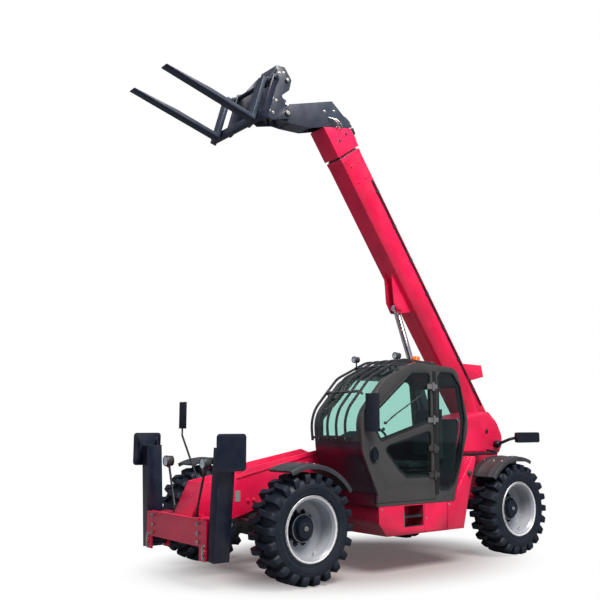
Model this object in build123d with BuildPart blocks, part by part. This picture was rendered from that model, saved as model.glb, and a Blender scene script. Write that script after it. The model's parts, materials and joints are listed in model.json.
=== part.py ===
from build123d import *
from math import cos, hypot, radians, sin
import os

# Telehandler: rigid frame, four steered wheels, cab on the left, boom stored raised.
# Millimetres. +X forwards, +Y to the left (the cab's side), +Z up, ground at Z 0.
# Side profiles are lists of (x, z), with x counted from the middle of the wheelbase.

# ---- driving dimensions ----
wheelbase = 3500
overall_width = 2410
tyre_radius = 590
tyre_width = 400
rim_radius = 310            # bead seat of the tyre
fit = 0.05                  # radial clearance of pins, spindles and rods
seat_gap = 0.3              # clearance of pieces set against each other
moving_gap = 5              # clearance of pieces that pass each other
rear_reach = 2700           # from the middle of the wheelbase to the end of the tow hitch

# boom, with stations along it from its pivot and heights above its centre line
boom_pivot = (370 - rear_reach, 1660)
boom_angle = 55             # degrees above the horizontal
boom_width = 290
boom_height = 400
boom_wall = 12
nest_gap = 6                # round each section, inside the one before it
boom_tail = -260
outer_end = 4500
head_start = 4530
head_end = 4985             # lower corner of the slanting mouth
head_mouth = 4785           # its upper corner
head_width = 300
head_height = 440
carriage_pin = (5370, -720)
nose_width = 260

# carriage and forks, measured forwards along the blades and up from the carriage pin
fork_angle = 16.2           # degrees above the horizontal
fork_length = 1200
fork_thickness = 50
fork_width = 130
fork_spacing = 800
shank_front = 620
fork_bottom = -525

# frame and cab
frame_width = 400           # over the two frame plates
plate_thickness = 25
side_y = 1150               # outer face of the cab, step box and engine cover
cab_inner_y = 300
cab_wall = 45
door_rear_x = -185

# stabilisers
leg_x = 2615                # middle of the leg, front to back
leg_depth = 190
leg_pivot = (620, 380)      # (y, z)
leg_lean = 5                # degrees outwards from upright

# ---- derived ----
frame_y = frame_width / 2
frame_inner = frame_y - plate_thickness
frame_tail = 120 - rear_reach       # rear end of the frame plates
hitch_face = 60 - rear_reach
tyre_y = overall_width / 2 - tyre_width / 2
axle_z = tyre_radius
boom_dir = (cos(radians(boom_angle)), sin(radians(boom_angle)))
fork_dir = (cos(radians(fork_angle)), sin(radians(fork_angle)))
sides = {"left": 1, "right": -1}
axles = {"front": wheelbase / 2, "rear": -wheelbase / 2}


def on_boom(along, above):
    """(x, z) of a point given along the boom and above its centre line."""
    x = boom_pivot[0] + along * boom_dir[0] - above * boom_dir[1]
    z = boom_pivot[1] + along * boom_dir[1] + above * boom_dir[0]
    return x, z


def on_forks(forward, up):
    """(x, z) of a point given along the forks and square to them, from the carriage pin."""
    x, z = on_boom(*carriage_pin)
    return x + forward * fork_dir[0] - up * fork_dir[1], z + forward * fork_dir[1] + up * fork_dir[0]


# the origin is under the middle of the whole machine, from tow hitch to fork tips
front_reach = on_forks(shank_front + fork_length, fork_bottom)[0]
mid_x = (rear_reach - front_reach) / 2


def side(y=0):
    """Side plane at y, its origin on the ground at the middle of the wheelbase."""
    return Plane(origin=(mid_x, y, 0), x_dir=(1, 0, 0), z_dir=(0, -1, 0))


def boom_side(y=0):
    x, z = boom_pivot
    return Plane(origin=(mid_x + x, y, z), x_dir=(boom_dir[0], 0, boom_dir[1]), z_dir=(0, -1, 0))


def fork_side(y=0):
    x, z = on_boom(*carriage_pin)
    return Plane(origin=(mid_x + x, y, z), x_dir=(fork_dir[0], 0, fork_dir[1]), z_dir=(0, -1, 0))


def slab(plane, points, y_low, y_high, mode=Mode.ADD, inset=0, radius=0):
    """A plate with the given outline on a side plane, between two distances from the centre."""
    with BuildSketch(plane(y_high)) as outline:
        with BuildLine():
            if radius:
                FilletPolyline(*points, radius=radius, close=True)
            else:
                Polyline(*points, close=True)
        make_face()
        if inset:
            offset(amount=-inset, mode=Mode.REPLACE)
    extrude(outline.sketch, amount=y_high - y_low, mode=mode)


def pair(plane, points, y_low, y_high, mode=Mode.ADD):
    """Two like plates, one each side of the centre line."""
    slab(plane, points, y_low, y_high, mode)
    slab(plane, points, -y_high, -y_low, mode)


def corners(low, high):
    return [low, (high[0], low[1]), high, (low[0], high[1])]


def bar(plane, centre, radius, y_low, y_high, mode=Mode.ADD):
    """A round bar or bore across the machine."""
    with BuildSketch(plane(y_high)) as disc:
        with Locations(centre):
            Circle(radius)
    extrude(disc.sketch, amount=y_high - y_low, mode=mode)


def rod(start, end, radius, mode=Mode.ADD):
    """A round bar between two points, x counted from the middle of the wheelbase."""
    a = Vector(mid_x + start[0], start[1], start[2])
    b = Vector(mid_x + end[0], end[1], end[2])
    with BuildSketch(Plane(origin=a, z_dir=b - a)) as disc:
        Circle(radius)
    extrude(disc.sketch, amount=(b - a).length, mode=mode)


def block(x, y, z, mode=Mode.ADD):
    """A box from three (low, high) ranges, x counted from the middle of the wheelbase."""
    slab(side, corners((x[0], z[0]), (x[1], z[1])), y[0], y[1], mode)


def finish(name, builder):
    builder.part.label = name
    export_step(builder.part, f"parts/{name}.step")


os.makedirs("parts", exist_ok=True)

# ---- wheels: tyre and rim turn on the knuckle's spindle ----
# Faceted carcass, with staggered lugs fused to it that run from the middle over the shoulder.
# Sections are (distance outwards from the middle of the tread, radius).
bead = tyre_width / 2 - 32
groove_radius = tyre_radius - 42            # carcass between the lugs
lug_count = 18                              # on each half of the tread
lug_width = 84
lug_slant = 18                              # degrees from straight across
lug_radius = tyre_radius - 2                 # at the middle of the tread; the outer corners reach as far
carcass = [(bead, 355), (tyre_width / 2 - 6, 392), (tyre_width / 2 - 4, 450),
           (tyre_width / 2 - 22, groove_radius - 22), (tyre_width / 2 - 60, groove_radius)]
lug_section = [(-16, groove_radius - 12), (-16, lug_radius), (tyre_width / 2 - 28, lug_radius - 6),
               (tyre_width / 2 - 6, groove_radius + 10), (tyre_width / 2 - 4, groove_radius - 50),
               (tyre_width / 2 - 30, groove_radius - 56)]
facets = 2 * lug_count
with BuildPart() as tyre_half:
    sections = [(0, groove_radius)] + carcass[::-1]
    for axial, radius in sections:
        with BuildSketch(Plane.XZ.offset(-axial)):
            RegularPolygon(radius, facets, major_radius=True)
    loft(ruled=True)
lugs = []
for i in range(lug_count):
    turn = 360 / lug_count * i
    across_dir = Vector(0, cos(radians(lug_slant)), sin(radians(lug_slant))).rotate(Axis.Y, -turn)
    width_dir = Vector(0, -sin(radians(lug_slant)), cos(radians(lug_slant))).rotate(Axis.Y, -turn)
    with BuildPart(mode=Mode.PRIVATE) as lug:
        with BuildSketch(Plane(origin=width_dir * (-lug_width / 2), x_dir=across_dir, z_dir=width_dir)):
            with BuildLine():
                Polyline(*lug_section, close=True)
            make_face()
        extrude(amount=lug_width)
    lugs.append(lug.part)
half_pitch = 180 / lug_count
with BuildPart() as tyre_blank:
    add(tyre_half.part)
    add(lugs)
    outer_half = tyre_blank.part
    add(outer_half.mirror(Plane.XZ).rotate(Axis.Y, half_pitch))
    with BuildSketch(Plane.XZ.offset(-tyre_width)):
        Circle(rim_radius)
    extrude(amount=2 * tyre_width, mode=Mode.SUBTRACT)

seat = rim_radius - seat_gap
flange = bead + seat_gap
flange_radius = 350
spindle_radius = 60
barrel_radius = 296         # inside of the rim's barrel
drum_radius = 150           # hub drum, its face well inside the rim
drum_face = 30
boss_radius = 99            # planetary cover on the drum
boss_face = 80
neck_radius = 105           # of the hub on its inner side
bore_end = 25               # how far outwards the hub's bore reaches
rim_section = [(-flange - 12, flange_radius), (-flange, flange_radius), (-flange, seat), (flange, seat),
               (flange, flange_radius), (flange + 12, flange_radius), (flange + 12, flange_radius - 32),
               (150, barrel_radius), (0, barrel_radius), (-25, 286), (-45, 230), (-52, drum_radius + 2),
               (drum_face, drum_radius - 4), (drum_face, boss_radius), (boss_face, boss_radius - 4),
               (boss_face, 0), (bore_end, 0), (bore_end, spindle_radius + fit), (-90, spindle_radius + fit),
               (-90, neck_radius), (-64, neck_radius + 4), (-64, 150), (-57, 234), (-40, barrel_radius),
               (-150, barrel_radius), (-flange - 12, flange_radius - 32)]


def wheel_plane(axle, name):
    """Outwards along the wheel's axis, and radius, from the middle of the tread."""
    s = sides[name]
    return Plane(origin=(mid_x + axles[axle], s * tyre_y, axle_z), x_dir=(0, s, 0), z_dir=(s, 0, 0))


for axle in axles:
    for name in sides:
        hub = wheel_plane(axle, name)
        with BuildPart() as tyre:
            blank = tyre_blank.part if name == "left" else tyre_blank.part.mirror(Plane.XZ)
            with Locations(hub.origin):
                add(blank)
        finish(f"tyre_{axle}_{name}", tyre)
        with BuildPart() as rim:
            with BuildSketch(hub):
                with BuildLine():
                    Polyline(*rim_section, close=True)
                make_face()
            revolve(axis=Axis(hub.origin, (0, 1, 0)))
        finish(f"rim_{axle}_{name}", rim)

# ---- steering knuckles, between the arms of the axle's yokes ----
kingpin_y = tyre_y - 265
kingpin_radius = 35
knuckle_half = 100          # half the knuckle's height between the yoke's arms
arm_gap = 2
arm_thickness = 33
fender_radius = 662         # underside of the fender, from the axle
fender_sheet = 12
fender_lip = 34
fender_width = 400
fender_arc = {"front": (65, 145), "rear": (40, 113)}    # degrees from straight ahead
stay_side = {"front": 1, "rear": -1}    # the stay is on the axle's side towards the cab


def upright(x, y, z):
    """Plane square to a kingpin."""
    return Plane(origin=(mid_x + x, y, z), x_dir=(1, 0, 0), z_dir=(0, 0, 1))


for axle, x in axles.items():
    for name, s in sides.items():
        with BuildPart() as knuckle:
            y_range = sorted((s * (kingpin_y - 50), s * (kingpin_y + 50)))
            block((x - 60, x + 60), y_range, (axle_z - knuckle_half, axle_z + knuckle_half))
            reach = knuckle_half + arm_gap + arm_thickness
            with BuildSketch(upright(x, s * kingpin_y, axle_z - reach)):
                Circle(kingpin_radius)
            extrude(amount=2 * reach)
            rod((x, s * (kingpin_y + 50), axle_z), (x, s * (tyre_y + bore_end - 2), axle_z), spindle_radius)
        finish(f"knuckle_{axle}_{name}", knuckle)

        with BuildPart() as fender:
            start, stop = fender_arc[axle]
            y_range = sorted((s * (tyre_y - fender_width / 2), s * (tyre_y + fender_width / 2)))
            with BuildSketch(side(y_range[1])):
                with Locations((x, axle_z)):
                    Circle(fender_radius + fender_sheet)
                    Circle(fender_radius, mode=Mode.SUBTRACT)
                sector = [(x, axle_z)]
                for step in range(5):
                    a = radians(start + (stop - start) * step / 4)
                    sector.append((x + 2 * fender_radius * cos(a), axle_z + 2 * fender_radius * sin(a)))
                with BuildLine():
                    Polyline(*sector, close=True)
                make_face(mode=Mode.INTERSECT)
            extrude(amount=y_range[1] - y_range[0])
            # a lip turned down along the outer edge
            lip_y = sorted((s * (tyre_y + fender_width / 2 - 6), s * (tyre_y + fender_width / 2)))
            with BuildSketch(side(lip_y[1])):
                with Locations((x, axle_z)):
                    Circle(fender_radius + fender_sheet / 2)
                    Circle(fender_radius - fender_lip, mode=Mode.SUBTRACT)
                with BuildLine():
                    Polyline(*sector, close=True)
                make_face(mode=Mode.INTERSECT)
            extrude(amount=lip_y[1] - lip_y[0])
            # the stay runs out past the yoke's arms and up inside the wheel, from the knuckle to the sheet
            stay_x = x - stay_side[axle] * 125
            near_x = sorted((x - stay_side[axle] * 60, stay_x))
            block(near_x, sorted((s * (kingpin_y - 20), s * (kingpin_y + 20))), (axle_z - 15, axle_z + 15))
            stay_high = axle_z + fender_radius - 7
            post_y = (s * (tyre_y - tyre_width / 2 - 54), s * (tyre_y - tyre_width / 2 - 30))
            block((stay_x - 12, stay_x + 12), sorted((s * (kingpin_y - 20), post_y[1])), (axle_z - 15, axle_z + 15))
            block((stay_x - 12, stay_x + 12), sorted(post_y), (axle_z - 15, stay_high - 20))
            block((stay_x - 12, stay_x + 12), sorted((post_y[0], s * (tyre_y - 100))), (stay_high - 25, stay_high))
        finish(f"fender_{axle}_{name}", fender)

# ---- axles ----
diff_radius = 170
saddle_top = {"front": 790, "rear": 765}
for axle, x in axles.items():
    with BuildPart() as beam:
        block((x - 70, x + 70), (150 - kingpin_y, kingpin_y - 150), (axle_z - 65, axle_z + 65))
        with Locations((mid_x + x, 0, axle_z)):
            Sphere(diff_radius)
        # the steering cylinder's barrel, on the side of the beam away from the machine's middle
        out = 1 if axle == "front" else -1
        block(sorted((x + out * 70, x + out * 105)), (-120, -90), (axle_z - 20, axle_z + 20))
        block(sorted((x + out * 70, x + out * 105)), (90, 120), (axle_z - 20, axle_z + 20))
        rod((x + out * 135, -260, axle_z), (x + out * 135, 260, axle_z), 38)
        rod((x + out * 135, -400, axle_z), (x + out * 135, 400, axle_z), 18)
        block((x - 120, x + 120), (-frame_inner + 5, frame_inner - 5), (axle_z, saddle_top[axle]))
        for s in sides.values():
            y_back = sorted((s * (kingpin_y - 150), s * (kingpin_y - 100)))
            y_arm = sorted((s * (kingpin_y - 150), s * (kingpin_y + 60)))
            low = knuckle_half + arm_gap
            block((x - 75, x + 75), y_back, (axle_z - low - arm_thickness, axle_z + low + arm_thickness))
            for z in (axle_z + low, axle_z - low - arm_thickness):
                block((x - 75, x + 75), y_arm, (z, z + arm_thickness))
            with BuildSketch(upright(x, s * kingpin_y, axle_z - 300)):
                Circle(kingpin_radius + fit)
            extrude(amount=600, mode=Mode.SUBTRACT)
    finish(f"axle_{axle}", beam)

# ---- frame: two plates with the nose, cross plates and tower between ----
beam_rear = leg_x - leg_depth / 2 - moving_gap - 20
beam_front = leg_x + leg_depth / 2 + moving_gap + 20
nose_foot = (2640, 700)
cover_hinge = (-frame_y - 18, 1388)     # (y, z)
cover_hinge_x = (-850, -480)
nose_top = (2463, 1053)
lift_pin = (-1660, 850)
frame_outline = [(beam_rear, 640), (beam_rear, 700), nose_foot, nose_top, (2070, 1120), (1990, 1125),
                 (1880, 1200), (840, 1385), (600, 1300), (-1900, 1300), (boom_pivot[0] + 210, 1560),
                 (boom_pivot[0] + 200, 1760), (boom_pivot[0] + 100, 1870), (frame_tail + 180, 1880),
                 (frame_tail + 60, 1780), (frame_tail, 1300), (frame_tail, 520),
                 (frame_tail + 160, 480), (frame_tail + 330, 690), (-1250, 690), (-1000, 450), (900, 450), (1250, 790),
                 (1550, 790), (2110, 640)]
with BuildPart() as frame:
    pair(side, frame_outline, frame_inner, frame_y)
    slab(side, [nose_foot, nose_top, (nose_top[0] - 30, 1053), (2600, 700)], -frame_inner, frame_inner)
    block((2150, 2600), (-frame_inner, frame_inner), (700, 720))
    block((-950, 850), (-frame_inner, frame_inner), (450, 470))
    for axle, x in axles.items():
        z = saddle_top[axle] + seat_gap
        block((x - 150, x + 150), (-frame_inner, frame_inner), (z, z + 12))
    block((frame_tail, frame_tail + 20), (-frame_inner, frame_inner), (520, 1250))
    bar(side, lift_pin, 40, -frame_inner, frame_inner)
    bar(side, boom_pivot, 50, -frame_y - 20, frame_y + 20)
    for x in cover_hinge_x:     # brackets and pins for the engine cover
        block((x - 51, x - 1), (-frame_y - 10, -frame_y), (1220, cover_hinge[1]))
        rod((x - 51, *cover_hinge), (x - 1, *cover_hinge), 12)
        rod((x - 1, *cover_hinge), (x + 51, *cover_hinge), 6)
finish("frame", frame)

# ---- stabiliser beam and its bracket plates ----
bracket_y = leg_pivot[0] + 35
with BuildPart() as stabiliser_beam:
    block((beam_rear, beam_front), (-530, 530), (430, 700))
    for y in ((-bracket_y, -530), (530, bracket_y)):
        for x in ((beam_rear, beam_rear + 20), (beam_front - 20, beam_front)):
            block(x, y, (290, 700))
    for s in sides.values():
        pin_y, pin_z = s * leg_pivot[0], leg_pivot[1]
        rod((beam_rear - 12, pin_y, pin_z), (beam_front + 12, pin_y, pin_z), 35)
finish("stabiliser_beam", stabiliser_beam)

# ---- stabiliser legs and pads ----
pad_pin = (195, 1040)       # outwards and up the leg, from its pivot
pad_pin_radius = 18
leg_inner, leg_outer = 35, 170


def leg_plane(s, x):
    """Outwards and up the leaning leg of side s, seen from the front."""
    lean = radians(leg_lean)
    up = Vector(0, s * sin(lean), cos(lean))
    out = Vector(0, s * cos(lean), -sin(lean))
    return Plane(origin=(mid_x + x, s * leg_pivot[0], leg_pivot[1]), x_dir=out, z_dir=out.cross(up))


def across(s, points, x_low, x_high, mode=Mode.ADD):
    """A plate on the leg's plane, between two x."""
    near = leg_plane(s, x_low if s > 0 else x_high)
    with BuildSketch(near) as outline:
        with BuildLine():
            Polyline(*points, close=True)
        make_face()
    extrude(outline.sketch, amount=x_high - x_low, mode=mode)


def across_bar(s, centre, radius, x_low, x_high, mode=Mode.ADD):
    near = leg_plane(s, x_low if s > 0 else x_high)
    with BuildSketch(near) as disc:
        with Locations(centre):
            Circle(radius)
    extrude(disc.sketch, amount=x_high - x_low, mode=mode)


for name, s in sides.items():
    x_low, x_high = leg_x - leg_depth / 2, leg_x + leg_depth / 2
    with BuildPart() as leg:
        across(s, corners((leg_inner, -80), (leg_outer, 1075)), x_low, x_high)
        across(s, corners((leg_inner + 10, -60), (leg_outer - 10, 1065)), x_low + 10, x_high - 10, Mode.SUBTRACT)
        across(s, corners((0, -50), (leg_inner + 10, 110)), x_low, x_high)
        across_bar(s, (0, 0), 60, x_low, x_high)
        across_bar(s, (0, 0), 35 + fit, x_low, x_high, Mode.SUBTRACT)
        across(s, corners((leg_outer, pad_pin[1] - 30), (pad_pin[0] + 10, pad_pin[1] + 20)), leg_x - 27, leg_x + 27)
        across_bar(s, pad_pin, pad_pin_radius + fit, leg_x - 27, leg_x + 27, Mode.SUBTRACT)
    finish(f"stabiliser_leg_{name}", leg)

    pin_point = leg_plane(s, leg_x).from_local_coords(Vector(pad_pin[0], pad_pin[1], 0))
    pin_y, pin_z = pin_point.Y, pin_point.Z
    with BuildPart() as pad:
        y_range = sorted((pin_y + s * 25, pin_y + s * 50))
        with BuildSketch(side(y_range[1])):
            with Locations((leg_x, pin_z)):
                RectangleRounded(350, 384, 38)
        extrude(amount=y_range[1] - y_range[0])
        y_range = sorted((pin_y - s * 12, pin_y + s * 26))
        for x in ((leg_x - 52, leg_x - 30), (leg_x + 30, leg_x + 52)):
            block(x, y_range, (pin_z - 25, pin_z + 25))
        rod((leg_x - 60, pin_y, pin_z), (leg_x + 60, pin_y, pin_z), pad_pin_radius)
    finish(f"stabiliser_pad_{name}", pad)

# ---- boom sections ----
def tube(start, end, width, height, wall):
    """A box tube along the boom."""
    slab(boom_side, corners((start, -height / 2), (end, height / 2)), -width / 2, width / 2)
    slab(boom_side, corners((start - 1, wall - height / 2), (end + 1, height / 2 - wall)),
         wall - width / 2, width / 2 - wall, Mode.SUBTRACT)


def pads(start, end, width, height):
    """Wear pads round the inside of a tube's mouth, just clear of the section that slides in it."""
    depth = nest_gap - seat_gap
    for sign in (1, -1):
        top = sorted((sign * height / 2, sign * (height / 2 - depth)))
        slab(boom_side, corners((start, top[0]), (end, top[1])), -width / 4, width / 4)
        flank = sorted((sign * width / 2, sign * (width / 2 - depth)))
        slab(boom_side, corners((start, -height / 4), (end, height / 4)), flank[0], flank[1])


lift_eye = (2290, -375)     # the lift cylinder's upper pin, along the boom and above its line
lug_gap = 60                # from the centre to the inner faces of the lift bracket's plates
pin_radius = 50
with BuildPart() as boom_outer:
    tube(boom_tail, outer_end, boom_width, boom_height, boom_wall)
    pads(outer_end - 100, outer_end, boom_width - 2 * boom_wall, boom_height - 2 * boom_wall)
    pads(150, 250, boom_width - 2 * boom_wall, boom_height - 2 * boom_wall)
    bar(boom_side, (0, 0), pin_radius + 25, -boom_width / 2, boom_width / 2)
    bar(boom_side, (0, 0), pin_radius + fit, -boom_width / 2, boom_width / 2, Mode.SUBTRACT)
    lift_lug = [(2110, -200), (2800, -200), (2620, -300), (2400, -430), (2240, -440), (2195, -380)]
    pair(boom_side, lift_lug, lug_gap, lug_gap + 20)
    for y in ((lug_gap + 20, lug_gap + 35), (-lug_gap - 35, -lug_gap - 20)):
        bar(boom_side, lift_eye, 45, y[0], y[1])
    hose_plate = [(986, 200), (743, 537), (579, 472), (690, 200)]
    pair(boom_side, hose_plate, boom_width / 2 - 20, boom_width / 2)
    slab(boom_side, [(743, 537), (579, 472), (589, 450), (751, 514)], 20 - boom_width / 2, boom_width / 2 - 20)
finish("boom_outer", boom_outer)

mid_width = boom_width - 2 * boom_wall - 2 * nest_gap
mid_height = boom_height - 2 * boom_wall - 2 * nest_gap
mid_wall = 10
with BuildPart() as boom_middle:
    tube(150, outer_end + 20, mid_width, mid_height, mid_wall)
    pads(outer_end - 80, outer_end + 20, mid_width - 2 * mid_wall, mid_height - 2 * mid_wall)
finish("boom_middle", boom_middle)

inner_width = mid_width - 2 * mid_wall - 2 * nest_gap
inner_height = mid_height - 2 * mid_wall - 2 * nest_gap
inner_wall = 8
head_y = head_width / 2
head_n = head_height / 2
nose_y = nose_width / 2
with BuildPart() as boom_inner:
    slab(boom_side, [(head_start, -head_n), (head_end, -head_n), (head_mouth, head_n), (head_start, head_n)],
         -head_y, head_y)
    slab(boom_side, corners((head_start + 20, 20 - head_n), (head_end + 1, head_n - 20)),
         -nose_y, nose_y, Mode.SUBTRACT)
    slab(boom_side, corners((180, -inner_height / 2), (head_start + 20, inner_height / 2)),
         -inner_width / 2, inner_width / 2)
    slab(boom_side, corners((179, inner_wall - inner_height / 2), (head_start + 21, inner_height / 2 - inner_wall)),
         inner_wall - inner_width / 2, inner_width / 2 - inner_wall, Mode.SUBTRACT)
finish("boom_inner", boom_inner)

# ---- boom nose: two plates from the head down to the carriage pin ----
nose_outline = [(4620, head_n - 20), (4800, head_n - 20), (4800, 285), (5230, 146), (5454, -569), (5440, -790), (5330, -830),
                (5230, -700), (5060, -430), (4985, 20 - head_n), (4620, 20 - head_n)]
carriage_pin_radius = 35
tilt_start = (4930, 100)    # the tilt cylinder's rear end
tilt_lever = 200            # from the carriage pin to the tilt cylinder's eye
lever_dir = (0.76, 0.65)
tilt_eye = (carriage_pin[0] + tilt_lever * lever_dir[0], carriage_pin[1] + tilt_lever * lever_dir[1])
tilt_length = hypot(tilt_eye[0] - tilt_start[0], tilt_eye[1] - tilt_start[1])
tilt_dir = ((tilt_eye[0] - tilt_start[0]) / tilt_length, (tilt_eye[1] - tilt_start[1]) / tilt_length)
with BuildPart() as boom_nose:
    pair(boom_side, nose_outline, nose_y - 20, nose_y)
    slab(boom_side, [(4800, 285), (5230, 146), (5223, 125), (4800, 262)], 20 - nose_y, nose_y - 20)
    slab(boom_side, [(5060, -430), (5230, -700), (5250, -700), (5080, -430)], 20 - nose_y, nose_y - 20)
    bar(boom_side, carriage_pin, 75, nose_y - 30, nose_y)
    bar(boom_side, carriage_pin, 75, -nose_y, 30 - nose_y)
    bar(boom_side, carriage_pin, carriage_pin_radius + fit, -nose_y, nose_y, Mode.SUBTRACT)
finish("boom_nose", boom_nose)


def tilt_plane(y=0):
    x, z = on_boom(*tilt_start)
    d = (tilt_dir[0] * boom_dir[0] - tilt_dir[1] * boom_dir[1], tilt_dir[0] * boom_dir[1] + tilt_dir[1] * boom_dir[0])
    return Plane(origin=(mid_x + x, y, z), x_dir=(d[0], 0, d[1]), z_dir=(0, -1, 0))


def along(plane, start, end, radius, mode=Mode.ADD):
    """A round bar along the x of a side plane."""
    base = plane(0)
    with BuildSketch(Plane(origin=base.from_local_coords(Vector(start, 0, 0)), z_dir=base.x_dir)) as disc:
        Circle(radius)
    extrude(disc.sketch, amount=end - start, mode=mode)


with BuildPart() as tilt_barrel:
    along(tilt_plane, 60, 640, 52)
    bar(tilt_plane, (100, 0), 25, 20 - nose_y, nose_y - 20)
    along(tilt_plane, 150, 640, 32 + fit, Mode.SUBTRACT)
finish("tilt_barrel", tilt_barrel)

with BuildPart() as tilt_rod:
    along(tilt_plane, tilt_length - 560, tilt_length - 30, 32)
    bar(tilt_plane, (tilt_length, 0), 42, -30, 30)
finish("tilt_rod", tilt_rod)

# ---- lift cylinder ----
lift_top = on_boom(*lift_eye)
lift_length = hypot(lift_top[0] - lift_pin[0], lift_top[1] - lift_pin[1])
lift_dir = ((lift_top[0] - lift_pin[0]) / lift_length, (lift_top[1] - lift_pin[1]) / lift_length)


def lift_plane(y=0):
    return Plane(origin=(mid_x + lift_pin[0], y, lift_pin[1]), x_dir=(lift_dir[0], 0, lift_dir[1]), z_dir=(0, -1, 0))


lift_barrel_end = 1475
with BuildPart() as lift_barrel:
    bar(lift_plane, (0, 0), 65, -50, 50)
    along(lift_plane, 50, lift_barrel_end, 75)
    along(lift_plane, 100, lift_barrel_end, 45 + fit, Mode.SUBTRACT)
    bar(lift_plane, (0, 0), 40 + fit, -80, 80, Mode.SUBTRACT)
finish("lift_barrel", lift_barrel)

with BuildPart() as lift_rod:
    along(lift_plane, lift_length - 1500, lift_length - 40, 45)
    bar(lift_plane, (lift_length, 0), 58, -40, 40)
    bar(lift_plane, (lift_length, 0), 38, -52, 52)
finish("lift_rod", lift_rod)

# ---- carriage: coupler, fork frame and two forks ----
coupler_y = nose_y + 15
coupler_outline = [(-60, -50), (-50, 60), (85, 90), (136, 195), (54, 320), (61, 470), (210, 581),
                   (331, 537), (331, -174), (190, -200), (40, -110)]
with BuildPart() as coupler:
    pair(fork_side, coupler_outline, coupler_y, coupler_y + 25)
    slab(fork_side, corners((306, -174), (331, 537)), -coupler_y, coupler_y)
    bar(fork_side, (0, 0), carriage_pin_radius, -coupler_y - 45, coupler_y + 45)
    bar(fork_side, (132, 425), 28, -coupler_y - 45, coupler_y + 45)
    tilt_in_boom = (tilt_eye[0] - carriage_pin[0], tilt_eye[1] - carriage_pin[1])
    turn = radians(boom_angle - fork_angle)
    lug = (tilt_in_boom[0] * cos(turn) - tilt_in_boom[1] * sin(turn),
           tilt_in_boom[0] * sin(turn) + tilt_in_boom[1] * cos(turn))
    pair(fork_side, [(lug[0] - 45, lug[1] + 45), (306, lug[1] + 60), (306, lug[1] - 120), (lug[0] - 45, lug[1] - 45)],
         36, 56)
finish("coupler", coupler)

shaft = (520, 60)
with BuildPart() as fork_frame:
    slab(fork_side, corners((331, -174), (351, 450)), -225, 225)
    centre_plate = [(351, -230), (480, -510), (560, -510), (560, 90), (480, 140), (351, 450)]
    pair(fork_side, centre_plate, 200, 225)
    end_plate = [(480, -510), (560, -510), (560, 90), (500, 110), (460, 60), (480, -50)]
    pair(fork_side, end_plate, 565, 590)
    slab(fork_side, corners((500, -510), (560, -400)), -590, 590)
    bar(fork_side, shaft, 28, -610, 610)
finish("fork_frame", fork_frame)

for name, s in sides.items():
    y_mid = s * fork_spacing / 2
    y_low, y_high = y_mid - fork_width / 2, y_mid + fork_width / 2
    tip = shank_front + fork_length
    with BuildPart() as fork:
        blade = [(shank_front - 50, fork_bottom), (tip, fork_bottom), (tip, fork_bottom + 12),
                 (tip - 600, fork_bottom + fork_thickness), (shank_front, fork_bottom + fork_thickness),
                 (shank_front, 60), (shank_front - 50, 60)]
        slab(fork_side, blade, y_low, y_high)
        bar(fork_side, shaft, 55, y_low, y_high)
        slab(fork_side, corners((shaft[0], shaft[1] - 55), (shank_front, shaft[1] + 20)), y_low, y_high)
        bar(fork_side, shaft, 28 + seat_gap, y_low, y_high, Mode.SUBTRACT)
    finish(f"fork_{name}", fork)

# ---- cab shell: floor, roof, pillars and fixed walls, with the windows cut ----
cab_bottom = 760
cab_outline = [(775, cab_bottom), (762, 905), (985, 1370), (1022, 1790), (620, 2215), (120, 2440),
               (-640, 2400), (-845, 1700), (-560, 900), (-525, cab_bottom)]
cab_radii = [5, 60, 300, 350, 250, 300, 180, 500, 250, 5]


def cab_solid(y_low, y_high, inset=0, mode=Mode.ADD):
    with BuildSketch(side(y_high)) as outline:
        with BuildLine():
            FilletPolyline(*cab_outline, radius=cab_radii, close=True)
        make_face()
        if inset:
            offset(amount=-inset, mode=Mode.REPLACE)
    extrude(outline.sketch, amount=y_high - y_low, mode=mode)


sill_z = 800
door_y = side_y - cab_wall
upper_window = [(185, 2304), (-140, 2318), (-140, 1731), (701, 1499), (838, 1727), (740, 1876)]
lower_window = [(670, 1430), (-140, 1622), (-125, 1073), (290, 1076), (403, 1149)]
quarter_window = [(-285, 2340), (-560, 2330), (-700, 2160), (-770, 1750), (-680, 1260), (-540, 975), (-430, 900), (-250, 900)]
right_window = [(-640, 2250), (350, 2250), (900, 1750), (900, 1500), (-700, 1500)]
screen_region = [(1200, 1560), (700, 1560), (150, 2150), (150, 2600), (1200, 2600)]
roof_region = [(60, 2300), (60, 2600), (-500, 2600), (-500, 2300)]
rear_region = [(-1000, 1350), (-600, 1350), (-600, 2150), (-1000, 2150)]
pane_low, pane_high = cab_inner_y + 60, door_y - 40
door_corner, quarter_corner = 55, 70    # rounding of the window corners
door_region = [(door_rear_x, sill_z), (2000, sill_z), (2000, 2600), (door_rear_x, 2600)]
roof_edge = 790             # the roof's window ends here, left of it the roof is steel
windows = [(screen_region, pane_high), (roof_region, roof_edge), (rear_region, pane_high)]
hinge = (door_rear_x, side_y + 15)      # (x, y)
hinge_z = (1400, 2150)
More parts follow.
